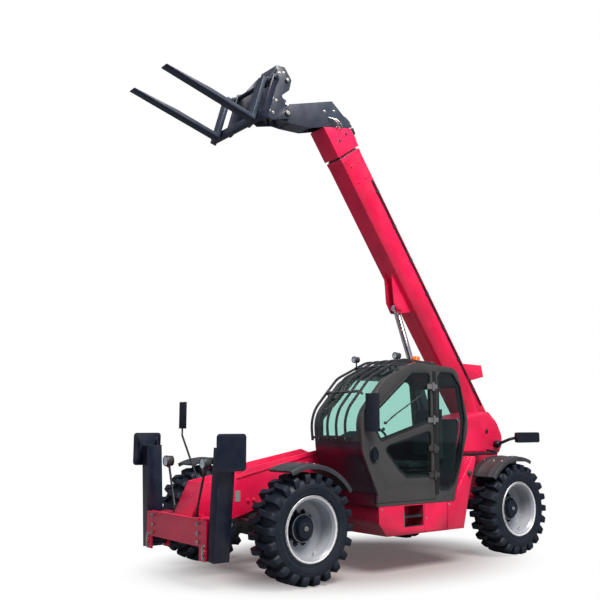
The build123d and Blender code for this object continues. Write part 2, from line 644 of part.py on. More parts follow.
with BuildPart() as cab_shell:
    cab_solid(cab_inner_y, side_y)
    cab_solid(cab_inner_y + cab_wall, door_y, cab_wall, Mode.SUBTRACT)
    slab(side, [(x - moving_gap if x < 0 else x, z - moving_gap if z < 1000 else z) for x, z in door_region],
         door_y - moving_gap, side_y + 1, Mode.SUBTRACT)
    slab(side, quarter_window, door_y - 1, side_y + 1, Mode.SUBTRACT, radius=quarter_corner)
    slab(side, right_window, cab_inner_y - 1, cab_inner_y + cab_wall + 1, Mode.SUBTRACT, radius=quarter_corner)
    for region, top in windows:
        slab(side, region, pane_low, top, Mode.SUBTRACT)
    for z in hinge_z:           # the door's hinge brackets and their pins
        block((hinge[0] - 70, hinge[0]), (side_y, side_y + 8), (z - 51, z - 1))
        with BuildSketch(upright(hinge[0], hinge[1], z - 51)):
            Circle(14)
        extrude(amount=50)
        with BuildSketch(upright(hinge[0], hinge[1], z - 1)):
            Circle(6)
        extrude(amount=51)
finish("cab_shell", cab_shell)

# ---- glass: curved panes follow the cab's outline ----
panes = []
for region, top in windows:
    with BuildPart() as pane:
        cab_solid(pane_low + seat_gap, top - seat_gap, 10)
        cab_solid(pane_low, top, 16, Mode.SUBTRACT)
        slab(side, region, pane_low, top, Mode.INTERSECT, seat_gap)
    panes.append(pane.part)
with BuildPart() as cab_glass:
    for pane_part in panes:
        add(pane_part)
    slab(side, quarter_window, side_y - 16, side_y - 10, Mode.ADD, seat_gap, quarter_corner)
    slab(side, right_window, cab_inner_y + 10, cab_inner_y + 16, Mode.ADD, seat_gap, quarter_corner)
finish("cab_glass", cab_glass)

# ---- door: frame and its two panes ----
with BuildPart() as door_frame:
    cab_solid(door_y, side_y)
    slab(side, door_region, door_y, side_y, Mode.INTERSECT)
    for window in (upper_window, lower_window):
        slab(side, window, door_y - 1, side_y + 1, Mode.SUBTRACT, radius=door_corner)
    for z in hinge_z:
        block((hinge[0], hinge[0] + 70), (side_y, side_y + 8), (z, z + 50))
        with BuildSketch(upright(hinge[0], hinge[1], z)):
            Circle(14)
            Circle(6 + fit, mode=Mode.SUBTRACT)
        extrude(amount=50)
finish("door_frame", door_frame)

with BuildPart() as door_glass:
    for window in (upper_window, lower_window):
        slab(side, window, side_y - 16, side_y - 10, Mode.ADD, seat_gap, door_corner)
finish("door_glass", door_glass)

# ---- guard over the windscreen and roof ----
guard_y = [310, 455, 605, 765, 925]
guard_bar = 14
guard_low, guard_high = 36, 66          # distances out from the cab's outline
guard_region = [(1400, 1500), (700, 1500), (-460, 2300), (-460, 2700), (1400, 2700)]
guard_centre = (200, 1500)
guard_bands = (2.5, 43, 82, 124)        # degrees round from straight ahead, seen from the middle of the cab
guard_span = (guard_y[0], guard_y[-1] + guard_bar)


def wedge(angle, half=1.3, reach=1500):
    """A narrow triangle that widens outwards from the middle of the cab."""
    ends = [radians(angle - half), radians(angle + half)]
    return [guard_centre] + [(guard_centre[0] + reach * cos(a), guard_centre[1] + reach * sin(a)) for a in ends]


def cab_band(y_low, y_high, low, high, region):
    """The part of a layer over the cab's outline that lies inside a region, as a part of its own."""
    with BuildPart() as layer:
        cab_solid(y_low, y_high, -high)
        cab_solid(y_low, y_high, -low, Mode.SUBTRACT)
        slab(side, region, y_low, y_high, Mode.INTERSECT)
    return layer.part


guard_pieces = [cab_band(y, y + guard_bar, guard_low, guard_high, guard_region) for y in guard_y]
for angle in guard_bands:
    guard_pieces.append(cab_band(*guard_span, guard_low + 5, guard_high - 5, wedge(angle, 1)))
    for y in (guard_y[0], guard_y[-1]):
        guard_pieces.append(cab_band(y, y + guard_bar, seat_gap, guard_high - 6, wedge(angle, 1)))
lamp_y = (340, 1083)                    # one on the guard, one on the roof beside the door
lamp_seat = (345, 2470)                 # (x, z) under each roof lamp
with BuildPart() as cab_guard:
    for piece in guard_pieces:
        add(piece)
    rod((lamp_seat[0], lamp_y[0], lamp_seat[1] - 60), (lamp_seat[0], lamp_y[0], lamp_seat[1]), 10)
finish("cab_guard", cab_guard)

# ---- inside the cab ----
seat_y = 725
cab_floor = cab_bottom + cab_wall + seat_gap
with BuildPart() as seat:
    block((-420, 60), (seat_y - 240, seat_y + 240), (1130, 1250))
    slab(side, [(-500, 1200), (-380, 1200), (-480, 1900), (-600, 1900)], seat_y - 220, seat_y + 220)
    block((-380, 20), (seat_y - 200, seat_y + 200), (cab_floor, 1130))
finish("seat", seat)

wheel_centre = (440, 1606)              # (x, z)
column = (0.547, 0.837)                 # the steering column runs down and forwards
with BuildPart() as dashboard:
    slab(side, [(560, cab_floor), (640, cab_floor), (660, 905), (880, 1370), (890, 1480), (640, 1480)],
         cab_inner_y + cab_wall + seat_gap, door_y - 20)
    rod((wheel_centre[0] + 400 * column[0], seat_y, wheel_centre[1] - 400 * column[1]),
        (wheel_centre[0] + 14.3 * column[0], seat_y, wheel_centre[1] - 14.3 * column[1]), 28)
finish("dashboard", dashboard)

with BuildPart() as steering_wheel:
    rim_centre = Vector(mid_x + wheel_centre[0], seat_y, wheel_centre[1])
    tilt = Plane(origin=rim_centre, x_dir=(0, 1, 0), z_dir=(-column[0], 0, column[1]))
    with BuildSketch(tilt.offset(-14)):
        Circle(190)
        Circle(160, mode=Mode.SUBTRACT)
        Circle(45)
        Rectangle(330, 36)
    extrude(amount=28)
finish("steering_wheel", steering_wheel)

# ---- step box and tank under and behind the cab ----
box_top = cab_bottom - seat_gap
box_wall = 8
step_outline = [(752, box_top), (752, 573), (631, 421), (-388, 421), (-388, box_top)]
tank_outline = [(-392, 421), (-687, 421), (-823, 899), (-950, 1240), (-950, 1290), (-895, 1290),
                (-590, 900), (-560, box_top), (-392, box_top)]
with BuildPart() as step_box:
    slab(side, step_outline, frame_y, side_y)
    slab(side, step_outline, frame_y + box_wall, side_y - box_wall, Mode.SUBTRACT, box_wall)
    block((30 - box_wall, 345 + box_wall), (side_y - 250 - box_wall, side_y), (505 - box_wall, 745 + box_wall))
    block((30, 345), (side_y - 250, side_y + 1), (505, 745), Mode.SUBTRACT)
finish("step_box", step_box)
with BuildPart() as rear_tank:
    slab(side, tank_outline, frame_y, side_y)
    slab(side, tank_outline, frame_y + box_wall, side_y - box_wall, Mode.SUBTRACT, box_wall)
finish("rear_tank", rear_tank)

cowl_outline = [(-900, 1300), (-920, 1620), (-1380, 1815), (-1740, 1870), (-1970, 1755), (-2090, 1540),
                (-2080, 1400), (-2010, 1300)]
cowl_radii = [5, 60, 300, 200, 200, 150, 60, 5]
cowl_y = 700
with BuildPart() as rear_cowl:
    with BuildSketch(side(cowl_y)):
        with BuildLine():
            FilletPolyline(*cowl_outline, radius=cowl_radii, close=True)
        make_face()
    extrude(amount=cowl_y - frame_y)
    rim_edges = rear_cowl.edges().filter_by_position(Axis.Y, cowl_y - 1, cowl_y + 1)
    fillet(rim_edges.filter_by_position(Axis.Z, 1310, 2000), 45)
    slab(side, [(-960, 1320), (-960, 1560), (-1400, 1740), (-1740, 1790), (-1920, 1700), (-2010, 1320)],
         frame_y + box_wall, cowl_y - 60, Mode.SUBTRACT)
finish("rear_cowl", rear_cowl)

# ---- engine on the right, in its tray, under a cover hinged along the frame ----
cover_z = 750
louvre_rows = {(-900, -420): 10, (-320, 160): 8}     # (x, x): slats, upwards from the lowest
cover_outline = [(-990, cover_z + 5), (745, cover_z + 5), (745, 1080), (200, 1200), (-300, 1360), (-990, 1380)]
with BuildPart() as engine_tray:
    block((-990, 745), (-side_y, -frame_y), (421, cover_z))
    block((-970, 725), (-side_y + 20, -frame_y - 20), (441, cover_z + 1), Mode.SUBTRACT)
finish("engine_tray", engine_tray)
with BuildPart() as engine:
    block((-800, 150), (-950, -400), (441 + seat_gap, 1050))
finish("engine", engine)
with BuildPart() as engine_cover:
    slab(side, cover_outline, -side_y, -frame_y - 30)
    slab(side, cover_outline, -side_y + 15, -frame_y - 29, Mode.SUBTRACT, 15)
    slab(side, corners((-975, cover_z), (730, cover_z + 30)), -side_y + 15, -frame_y - 29, Mode.SUBTRACT)
    for x, slats in louvre_rows.items():
        for i in range(slats):
            block(x, (-side_y - 8, -side_y + 1), (830 + 36 * i, 844 + 36 * i))
    for x in cover_hinge_x:
        block((x, x + 50), (-320, cover_hinge[0]), (1362, cover_hinge[1] + 8))
        rod((x, *cover_hinge), (x + 50, *cover_hinge), 12)
        rod((x - 1, *cover_hinge), (x + 51, *cover_hinge), 6 + fit, Mode.SUBTRACT)
finish("engine_cover", engine_cover)

# ---- rear counterweight and hitch ----
with BuildPart() as counterweight:
    block((hitch_face, frame_tail), (-500, 500), (500, 1180))
    for s in sides.values():
        block((frame_tail, frame_tail + 220), sorted((s * frame_y, s * 480)), (500, 1180))
finish("counterweight", counterweight)
hitch_z = 620
hitch_bore = 16
with BuildPart() as tow_hitch:
    block((hitch_face - 12, hitch_face), (-60, 60), (hitch_z - 60, hitch_z + 60))
    for z in (hitch_z - 60, hitch_z + 40):
        block((-rear_reach, hitch_face), (-60, 60), (z, z + 20))
    with BuildSketch(upright(25 - rear_reach, 0, hitch_z - 80)):
        Circle(hitch_bore)
    extrude(amount=160, mode=Mode.SUBTRACT)
finish("tow_hitch", tow_hitch)

# ---- lamps and mirrors ----
with BuildPart() as front_lamps:
    for s in sides.values():
        rod((2600, s * 250, 700), (2600, s * 250, 790), 18)
        rod((2600, s * 250, 770), (2600, s * 405, 1225), 13)
        rod((2560, s * 413, 1272), (2640, s * 413, 1272), 58)
finish("front_lamps", front_lamps)
with BuildPart() as front_mirror:
    rod((2300, -frame_y, 1000), (2300, -frame_y - 30, 1000), 12)
    rod((2300, -frame_y - 20, 995), (2300, -650, 1560), 12)
    rod((2300, -650, 1555), (2300, -650, 1700), 10)
    block((2290, 2325), (-690, -570), (1640, 1960))
finish("front_mirror", front_mirror)
mirror_inner, mirror_outer = (925, 1168), (828, 1268)   # ends of the head in plan, (x, y)
mirror_depth = 34
mirror_low, mirror_high = 1608, 2042
with BuildPart() as cab_mirror:             # on the door, in front of its window
    with BuildSketch(Plane(origin=(mid_x, 0, mirror_low))):
        with BuildLine():
            Polyline(mirror_inner, (mirror_inner[0] + mirror_depth, mirror_inner[1] + 6),
                     (mirror_outer[0] + mirror_depth, mirror_outer[1] + 16), mirror_outer, close=True)
        make_face()
    extrude(amount=mirror_high - mirror_low)
    for z in (1740, 1840):
        rod((905, side_y, z), (905, side_y + 55, z), 10)
finish("cab_mirror", cab_mirror)
with BuildPart() as rear_mirror:
    rod((-1900, cowl_y, 1420), (-1900, cowl_y + 30, 1420), 16)
    rod((-1900, 722, 1420), (-2020, 970, 1515), 13)
    block((-2500, -2010), (960, 1010), (1450, 1580))
finish("rear_mirror", rear_mirror)
lamp_foot = cab_band(lamp_y[1] - 14, lamp_y[1] + 14, seat_gap, 30,
                     corners((lamp_seat[0] - 25, 2200), (lamp_seat[0] + 25, 2600)))
with BuildPart() as cab_lamps:
    for y in lamp_y:
        rod((lamp_seat[0] - 30, y, lamp_seat[1] + 40), (lamp_seat[0] + 40, y, lamp_seat[1] + 40), 38)
        block((lamp_seat[0] - 15, lamp_seat[0] + 15), (y - 15, y + 15), (lamp_seat[1], lamp_seat[1] + 10))
    add(lamp_foot)
    rod((lamp_seat[0], lamp_y[1], lamp_seat[1] - 110), (lamp_seat[0], lamp_y[1], lamp_seat[1] + 5), 10)
finish("cab_lamps", cab_lamps)
beacon_x, beacon_y = -210, 852
beacon_foot = cab_band(beacon_y - 30, beacon_y + 30, seat_gap, 40,
                       corners((beacon_x - 35, 2200), (beacon_x + 35, 2600)))
with BuildPart() as beacon:
    add(beacon_foot)
    with BuildSketch(upright(beacon_x, beacon_y, 2450)):
        Circle(50)
    extrude(amount=85)
finish("beacon", beacon)
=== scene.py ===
import json
from math import cos, pi, radians, sin

import bmesh
import bpy
import numpy as np
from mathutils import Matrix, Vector


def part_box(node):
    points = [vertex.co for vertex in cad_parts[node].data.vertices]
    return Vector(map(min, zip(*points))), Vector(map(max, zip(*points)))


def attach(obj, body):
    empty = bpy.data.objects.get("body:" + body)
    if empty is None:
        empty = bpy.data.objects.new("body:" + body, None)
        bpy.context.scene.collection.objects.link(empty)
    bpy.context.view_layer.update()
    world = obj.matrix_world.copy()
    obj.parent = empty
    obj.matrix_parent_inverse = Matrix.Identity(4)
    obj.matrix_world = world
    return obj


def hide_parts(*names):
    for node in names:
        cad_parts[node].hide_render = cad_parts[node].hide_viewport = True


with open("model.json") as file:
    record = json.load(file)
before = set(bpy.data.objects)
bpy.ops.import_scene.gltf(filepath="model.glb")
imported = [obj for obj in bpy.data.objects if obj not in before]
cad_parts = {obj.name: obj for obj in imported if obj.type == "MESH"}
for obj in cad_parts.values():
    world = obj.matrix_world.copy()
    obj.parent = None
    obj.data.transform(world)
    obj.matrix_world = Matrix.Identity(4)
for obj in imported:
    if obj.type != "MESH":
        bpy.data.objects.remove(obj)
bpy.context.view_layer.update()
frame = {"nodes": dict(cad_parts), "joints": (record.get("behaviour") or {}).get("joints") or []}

# ---- the row frame ----
# +X forwards, +Y to the left, +Z up, metres, ground at Z 0. The middle of the wheelbase, which most
# lengths are counted from, lies between the front and rear tyres' own boxes. Joints give the pins.
scene = bpy.context.scene
X, Y, Z = np.eye(3)
ends, hands = ("front", "rear"), {"left": 1, "right": -1}
hub = {(end, hand): np.array(sum(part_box(f"tyre_{end}_{hand}"), Vector()) / 2)
       for end in ends for hand in hands}
mid_x = (hub["front", "left"][0] + hub["rear", "left"][0]) / 2
joint = {entry["name"]: entry for entry in frame["joints"]}


def pin_of(name):
    """Where a hinge's pin lies."""
    return np.array(Vector(joint[name]["pos_m"]))


def at(x, y, z):
    """A place given from the middle of the wheelbase."""
    return np.array((mid_x + x, y, z))


# ---- camera ----
# A standing viewer's eye, ahead and to the left of the machine, looking up at the raised boom.
heading, climb = radians(-127.7), radians(9.09)
sight = Vector((cos(heading) * cos(climb), sin(heading) * cos(climb), sin(climb)))
camera = bpy.data.objects.new("camera", bpy.data.cameras.new("camera"))
camera.location = at(7.126, 7.931, 1.663)
camera.rotation_euler = sight.to_track_quat("-Z", "Y").to_euler()
camera.data.sensor_width = 36
camera.data.lens = 47.51
camera.data.clip_end = 200
scene.collection.objects.link(camera)
scene.camera = camera
scene.view_settings.view_transform = "Standard"

# ---- floor and light ----
# A white studio floor with a painted shadow: a darker grey patch under the machine, with a faint
# painted glow in it, that fades to white further out. A soft overcast world and two broad lamps: a strong
# one high on the cab's side and a weak one in front. Off the floor, light comes back as from pale grey
# concrete.


class Tree:
    """A node tree, emptied, with short ways to add, set and join its nodes."""

    def __init__(self, tree):
        self.nodes, self.links = tree.nodes, tree.links
        self.nodes.clear()

    def put(self, socket, value):
        """Joins value to a socket where it is a node's output, else sets it. A colour gets its alpha."""
        if isinstance(value, bpy.types.NodeSocket):
            self.links.new(value, socket)
        else:
            socket.default_value = (*value, 1) if socket.type == "RGBA" else value

    def add(self, kind, result, inputs=None, **settings):
        """A new node, given its settings and inputs, as its output of the name or number in result."""
        node = self.nodes.new("ShaderNode" + kind)
        for name, value in settings.items():
            setattr(node, name, value)
        for name, value in (inputs or {}).items():
            self.put(node.inputs[name], value)
        return node.outputs[result]

    def maths(self, operation, first, second):
        """The outcome of one operation on two values."""
        return self.add("Math", 0, {0: first, 1: second}, operation=operation)

    def seen(self):
        """1 for what the camera sees, straight or through glass, 0 for light on its way round."""
        rays = self.nodes.new("ShaderNodeLightPath").outputs
        return self.maths("MAXIMUM", rays["Is Camera Ray"], rays["Is Transmission Ray"])

    def end(self, kind, surface):
        """Joins surface to the tree's output, which is a Material or a World."""
        self.put(self.nodes.new("ShaderNodeOutput" + kind).inputs["Surface"], surface)


class Finish(Tree):
    """A material in the making. Its slot, the record's name for such a finish, is kept but not used."""

    def __init__(self, name, slot=None):
        self.material = bpy.data.materials.new(name)
        self.material.use_nodes = True
        self.slot = slot
        super().__init__(self.material.node_tree)

    def principled(self, colour, rough, metal=0.0, coat=0.0, spec=0.5):
        """Ends in one Principled shader, whose inputs the next methods vary."""
        shader = self.nodes.new("ShaderNodeBsdfPrincipled")
        self.inputs = shader.inputs
        for name, value in (("Base Color", colour), ("Roughness", rough), ("Metallic", metal),
                            ("Coat Weight", coat), ("Coat Roughness", 0.06), ("Specular IOR Level", spec)):
            self.put(shader.inputs[name], value)
        self.end("Material", shader.outputs[0])
        return self

    def noise(self, scale, detail=3.0, stretch=(1, 1, 1)):
        """A noise pattern's factor output, on Object coordinates scaled by stretch."""
        place = self.add("Mapping", 0, {"Vector": self.add("TexCoord", "Object"), "Scale": stretch})
        return self.add("TexNoise", "Fac", {"Vector": place, "Scale": scale, "Detail": detail})

    def span(self, value, low, high, to_low=0, to_high=1):
        """value mapped from low..high to to_low..to_high and held at the ends."""
        return self.add("MapRange", "Result", {"Value": value, "From Min": low, "From Max": high,
                                               "To Min": to_low, "To Max": to_high})

    def blend(self, factor, first, second):
        """A colour between first and second; each is a colour or another node's output."""
        return self.add("Mix", 2, {"Factor": factor, 6: first, 7: second}, data_type="RGBA")

    def part(self, axis):
        """One part of the Object coordinates."""
        return self.add("SeparateXYZ", axis, {0: self.add("TexCoord", "Object")})

    def patchy(self, first, second, scale, detail, low, high, share=1):
        """The colour changes from first to share of second, in patches."""
        factor = self.span(self.noise(scale, detail), low, high, 0, share)
        self.put(self.inputs["Base Color"], self.blend(factor, first, second))
        return self

    def gloss(self, to_low, to_high, scale, detail=3.0, low=0.3, high=0.7, stretch=(1, 1, 1)):
        """The roughness changes from to_low to to_high, in patches."""
        varied = self.span(self.noise(scale, detail, stretch), low, high, to_low, to_high)
        self.put(self.inputs["Roughness"], varied)
        return self

    def grain(self, scale, detail, strength, distance=0.001):
        """The surface is raised by a fine pattern."""
        raised = {"Height": self.noise(scale, detail), "Strength": strength, "Distance": distance}
        self.put(self.inputs["Normal"], self.add("Bump", 0, raised))
        return self


floor_white = Finish("floor_white")
# painted shadow: near the machine the floor is a darker grey with a faint painted glow, fading to white
# further out
away = floor_white.add("Mapping", 0, {"Vector": floor_white.add("TexCoord", "Object"),
                                      "Scale": (0.75, 1, 1)})       # the painted shadow patch is longer front to back
fade = floor_white.add("MapRange", "Result", {
    "Value": floor_white.add("VectorMath", "Value", {0: away}, operation="LENGTH"),
    "From Min": 1.10, "From Max": 2.25}, interpolation_type="SMOOTHSTEP")
grey = floor_white.add("BsdfDiffuse", 0, {"Color": (0.30, 0.286, 0.281)})
painted_glow = floor_white.add("Emission", 0, {"Color": (0.115, 0.096, 0.096)})    # painted glow that lifts the painted shadow so it isn't black
painted_shadow_patch = floor_white.add("AddShader", 0, {0: grey, 1: painted_glow})
white = floor_white.add("Emission", 0, {"Color": (1, 1, 1)})
shown = floor_white.add("MixShader", 0, {0: fade, 1: painted_shadow_patch, 2: white})
returned = floor_white.add("BsdfDiffuse", 0, {"Color": (0.30, 0.30, 0.31)})
floor_white.end("Material", floor_white.add("MixShader", 0, {0: floor_white.seen(), 1: returned, 2: shown}))
floor_mesh = bpy.data.meshes.new("floor")
floor_mesh.from_pydata([(-60, -60, 0), (60, -60, 0), (60, 60, 0), (-60, 60, 0)], [], [(0, 1, 2, 3)])
floor_mesh.materials.append(floor_white.material)
floor = bpy.data.objects.new("floor", floor_mesh)
scene.collection.objects.link(floor)

world = bpy.data.worlds.new("studio")
scene.world = world
world.use_nodes = True
studio = Tree(world.node_tree)
ambient = studio.add("Background", 0, {"Color": (0.80, 0.88, 1.08), "Strength": 0.36})
backdrop = studio.add("Background", 0, {"Color": (1, 1, 1)})
studio.end("World", studio.add("MixShader", 0, {0: studio.seen(), 1: ambient, 2: backdrop}))

for label, place, aim, power in (("key", (1.2, 7.5, 12.5), (0, 0, 1.5), 3000),
                                 ("fill", (12, 2, 5), (0, 0, 2), 60)):
    lamp = bpy.data.lights.new(label, "AREA")
    lamp.size = 7
    lamp.energy = power
    lamp.color = (1, 0.96, 0.91)
    lamp_object = bpy.data.objects.new(label, lamp)
    lamp_object.location = place
    lamp_object.rotation_euler = (Vector(aim) - Vector(place)).to_track_quat("-Z", "Y").to_euler()
    scene.collection.objects.link(lamp_object)

# ---- painted frame ----
# Two thick steel side plates with a sloped nose between them and the boom's tower behind, welded,
# primed and sprayed in gloss crimson. The plates' cut edges are eased by a few millimetres.


def paint(name, slot, colour, rough, coat, chip_and_highlight=(0.30, 0.28, 0.27), wear_and_highlight=0.5, dust=0.25, spec=0.5):
    """Sprayed paint: patchy tone, fine orange peel, scuffed edges and dust low down. The scuffed edges are
    lighter and also stand as painted edge highlights. An edge is where the normal of the surface as if
    bevelled leaves the true one."""
    made = Finish(name, slot).principled(colour, rough, coat=coat, spec=spec)
    deep = tuple(0.72 * c for c in colour)
    tone = made.blend(made.span(made.noise(1.7), 0.35, 0.65), deep, colour)
    agree = made.add("VectorMath", "Value", {0: made.add("Bevel", 0, {"Radius": 0.006}, samples=4),
                                             1: made.add("NewGeometry", "Normal")}, operation="DOT_PRODUCT")
    # scuffed edges in a lighter colour: real wear that also stands as painted edge highlights
    edge = made.maths("MULTIPLY", made.span(agree, 0.97, 0.80),
                      made.span(made.noise(9, 6), 0.52, 0.66, 0, wear_and_highlight))
    low = made.maths("MULTIPLY", made.span(made.part("Z"), 1.1, 0.1, 0.05, dust),
                     made.span(made.noise(5, 5), 0.40, 0.72))
    made.tone = made.blend(low, made.blend(edge, tone, chip_and_highlight), (0.23, 0.19, 0.16))
    made.put(made.inputs["Base Color"], made.tone)
    return made.gloss(rough * 0.8, rough * 1.3, 6, 4).grain(260, 2, 0.05)


def ease(piece, width, segments=2, angle=35):
    """Welds a piece's loose faces and rounds its edges where they turn by more than angle degrees."""
    piece.modifiers.new("weld", "WELD").merge_threshold = 0.00002
    round_off = piece.modifiers.new("eased edges", "BEVEL")
    round_off.width = width
    round_off.segments = segments
    round_off.limit_method = "ANGLE"
    round_off.angle_limit = radians(angle)
    round_off.harden_normals = True
    round_off.miter_outer = "MITER_ARC"
    piece.data.polygons.foreach_set("use_smooth", np.ones(len(piece.data.polygons), bool))


def finish_node(node, finish, width=0.0, segments=2):
    """Gives a CAD node its real finish and, where width isn't 0, its eased edges."""
    piece = frame["nodes"][node]
    piece.data.materials.clear()
    piece.data.materials.append(finish.material)
    if width:
        ease(piece, width, segments)


def joined(parts):
    """Points and faces of several parts as one: each part's faces are renumbered by the points before it."""
    starts = np.cumsum([0] + [len(points) for points, faces in parts])
    points = np.concatenate([points for points, faces in parts])
    faces = [[int(corner) + int(start) for corner in face]
             for (_, faces), start in zip(parts, starts) for face in faces]
    return points, faces


def add_piece(name, parts, finish, body="chassis", width=0.0, segments=2, turn=35):
    """A new piece at the origin from parts of points and faces: doubles merged, faces outwards."""
    points, faces = joined(parts)
    mesh = bpy.data.meshes.new(name)
    mesh.from_pydata(points, [], faces)
    shape = bmesh.new()
    shape.from_mesh(mesh)
    bmesh.ops.remove_doubles(shape, verts=shape.verts, dist=1e-6)
    bmesh.ops.recalc_face_normals(shape, faces=shape.faces)
    shape.to_mesh(mesh)
    shape.free()
    mesh.polygons.foreach_set("use_smooth", np.ones(len(mesh.polygons), bool))
    mesh.set_sharp_from_angle(angle=radians(turn))
    mesh.materials.append(finish.material)
    made = bpy.data.objects.new(name, mesh)
    scene.collection.objects.link(made)
    if width:
        ease(made, width, segments, turn)
    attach(made, body)
    return made


def unit(vector):
    """A vector, or each row of several, divided by its length."""
    vector = np.asarray(vector, float)
    return vector / np.linalg.norm(vector, axis=-1, keepdims=True)


def rect(x0, z0, x1, z1):
    """A rectangle's outline between two corners."""
    return [(x0, z0), (x1, z0), (x1, z1), (x0, z1)]


def rounded(outline, radius, steps=5):
    """An outline's corners as arcs: each corner's two tangent points joined by an arc of that radius."""
    outline = np.asarray(outline, float)
    radii = np.broadcast_to(radius, len(outline))
    back, ahead = unit(np.roll(outline, 1, 0) - outline), unit(np.roll(outline, -1, 0) - outline)
    half = np.arccos(np.clip((back * ahead).sum(1), -1, 1)) / 2
    reach = (radii / np.tan(half))[:, None]
    middle = outline + unit(back + ahead) * (radii / np.sin(half))[:, None]
    start, stop = outline + back * reach - middle, outline + ahead * reach - middle
    turn = np.arctan2(start[:, 0] * stop[:, 1] - start[:, 1] * stop[:, 0], (start * stop).sum(1))
    t = turn[:, None] * np.linspace(0, 1, steps)
    x = start[:, :1] * np.cos(t) - start[:, 1:] * np.sin(t)
    y = start[:, :1] * np.sin(t) + start[:, 1:] * np.cos(t)
    return (middle[:, None] + np.stack([x, y], -1)).reshape(-1, 2)


def soft_rect(x0, z0, x1, z1, radius, steps=5):
    """A rectangle's outline with rounded corners."""
    return rounded(rect(x0, z0, x1, z1), radius, steps)


def grid_faces(rows, columns, wrap_rows=False, wrap_columns=False):
    """Quads over a grid numbered row by row; a wrapped direction joins its end to its start."""
    row = np.arange(rows if wrap_rows else rows - 1)[:, None]
    column = np.arange(columns if wrap_columns else columns - 1)[None, :]
    next_row, next_column = (row + 1) % rows, (column + 1) % columns
    corners = (row * columns + column, row * columns + next_column,
               next_row * columns + next_column, next_row * columns + column)
    return np.stack(np.broadcast_arrays(*corners), axis=-1).reshape(-1, 4)


def capped(rows, columns):
    """The faces of a tube of rows of points round it, closed by a face at each end."""
    return grid_faces(rows, columns, False, True).tolist() + [
        list(range(columns)), list(range((rows - 1) * columns, rows * columns))]


def around(centre, radius, angles, first=X, second=Z):
    """Places on a circle: centre + radius * (cos a * first + sin a * second), a row for each angle."""
    angles = np.asarray(angles, float)[:, None]
    return np.asarray(centre, float) + radius * (np.cos(angles) * first + np.sin(angles) * second)


def even(count, start=0.0):
    """count even angles round a circle."""
    return np.arange(count) * 2 * pi / count + start


def turned(profile, centre, axis, count=40, ring=False):
    """A profile of (along the axis, radius) turned about it: point = centre + along * axis + radius *
    (cos t * u + sin t * v). A ring's profile closes on itself; else it starts and ends on the axis."""
    profile, axis = np.asarray(profile, float), unit(axis)
    u = unit(np.cross(axis, (0.12, 0.31, 0.94) if abs(axis[2]) < 0.9 else X))
    v = np.cross(axis, u)
    t = even(count)[None, :, None]
    points = (np.asarray(centre, float) + profile[:, None, :1] * axis
              + profile[:, None, 1:] * (np.cos(t) * u + np.sin(t) * v))
    return points.reshape(-1, 3), grid_faces(len(profile), count, ring, True)


def disc(centre, axis, low, high, radius, edge=0.002, count=32):
    """A round pin or boss between two places along its axis, with a small chamfer at each end."""
    return turned([(low, 0), (low, radius - edge), (low + edge, radius), (high - edge, radius),
                   (high, radius - edge), (high, 0)], centre, axis, count)


def swept(path, section, up=Z, closed=False):
    """A section of (across, over) points carried along a path: point = path + across * side + over *
    lift, where side is square to the path and to up, and lift is square to both."""
    path, section = np.asarray(path, float), np.asarray(section, float)
    if closed:
        ahead = unit(np.roll(path, -1, 0) - np.roll(path, 1, 0))
    else:
        ahead = unit(np.gradient(path, axis=0))
    side = unit(np.cross(ahead, up))
    lift = np.cross(side, ahead)
    points = path[:, None] + section[None, :, :1] * side[:, None] + section[None, :, 1:] * lift[:, None]
    n, m = len(path), len(section)
    return points.reshape(-1, 3), grid_faces(n, m, True, True) if closed else capped(n, m)


def round_section(radius, count=12):
    """A circle's points: (radius * cos t, radius * sin t)."""
    t = even(count)
    return np.stack([radius * np.cos(t), radius * np.sin(t)], axis=1)


def smooth_line(points, count=24):
    """A smooth line through points: a Catmull-Rom curve, each span a cubic of its four nearest points."""
    points = np.asarray(points, float)
    held = np.concatenate([2 * points[:1] - points[1:2], points, 2 * points[-1:] - points[-2:-1]])
    place = np.linspace(0, len(points) - 1 - 1e-9, count)
    k = place.astype(int)
    t = (place - k)[:, None]
    a, b, c, d = held[k], held[k + 1], held[k + 2], held[k + 3]
    return 0.5 * (2 * b + (c - a) * t + (2 * a - 5 * b + 4 * c - d) * t ** 2
                  + (3 * b - a - 3 * c + d) * t ** 3)


def pipe(points, radius, count=24, sides=12, up=Z):
    """A round pipe along a smooth line through points."""
    return swept(smooth_line(points, count), round_section(radius, sides), up)


def prism(outline, low, high, across=Y, origin=(0, 0, 0), first=X, second=Z):
    """A flat outline of (first, second) coordinates given thickness from low to high along across."""
    outline, across = np.asarray(outline, float), np.asarray(across, float)
    flat = (np.asarray(origin, float) + outline[:, :1] * np.asarray(first, float)
            + outline[:, 1:] * np.asarray(second, float))
    return np.concatenate([flat + low * across, flat + high * across]), capped(2, len(outline))


def level(outline, low, high, origin=(0, 0, 0)):
    """A prism that lies flat: its outline is (x, y) and it stands from low to high."""
    return prism(outline, low, high, Z, origin, X, Y)


def facing(outline, low, high, x):
    """A prism that faces along X: its outline is (y, z) and it reaches from x + low to x + high."""
    return prism(outline, low, high, X, (x, 0, 0), Y, Z)


def brick(low, high):
    """A block between two corners."""
    return prism(rect(low[0], low[2], high[0], high[2]), low[1], high[1])


def bolts(centres, axis, across=0.024, height=0.012, washer=0.0):
    """Hexagon heads, or hexagons on washers, standing along axis on each of the centres."""
    parts = []
    for centre in centres:
        if washer:
            parts.append(disc(centre, axis, -0.002, washer, across * 0.85, 0.0008, 20))
        parts.append(turned([(-0.002, 0), (-0.002, across / 2), (washer + height * 0.8, across / 2),
                             (washer + height, across * 0.42), (washer + height, 0)], centre, axis, 6))
    return parts


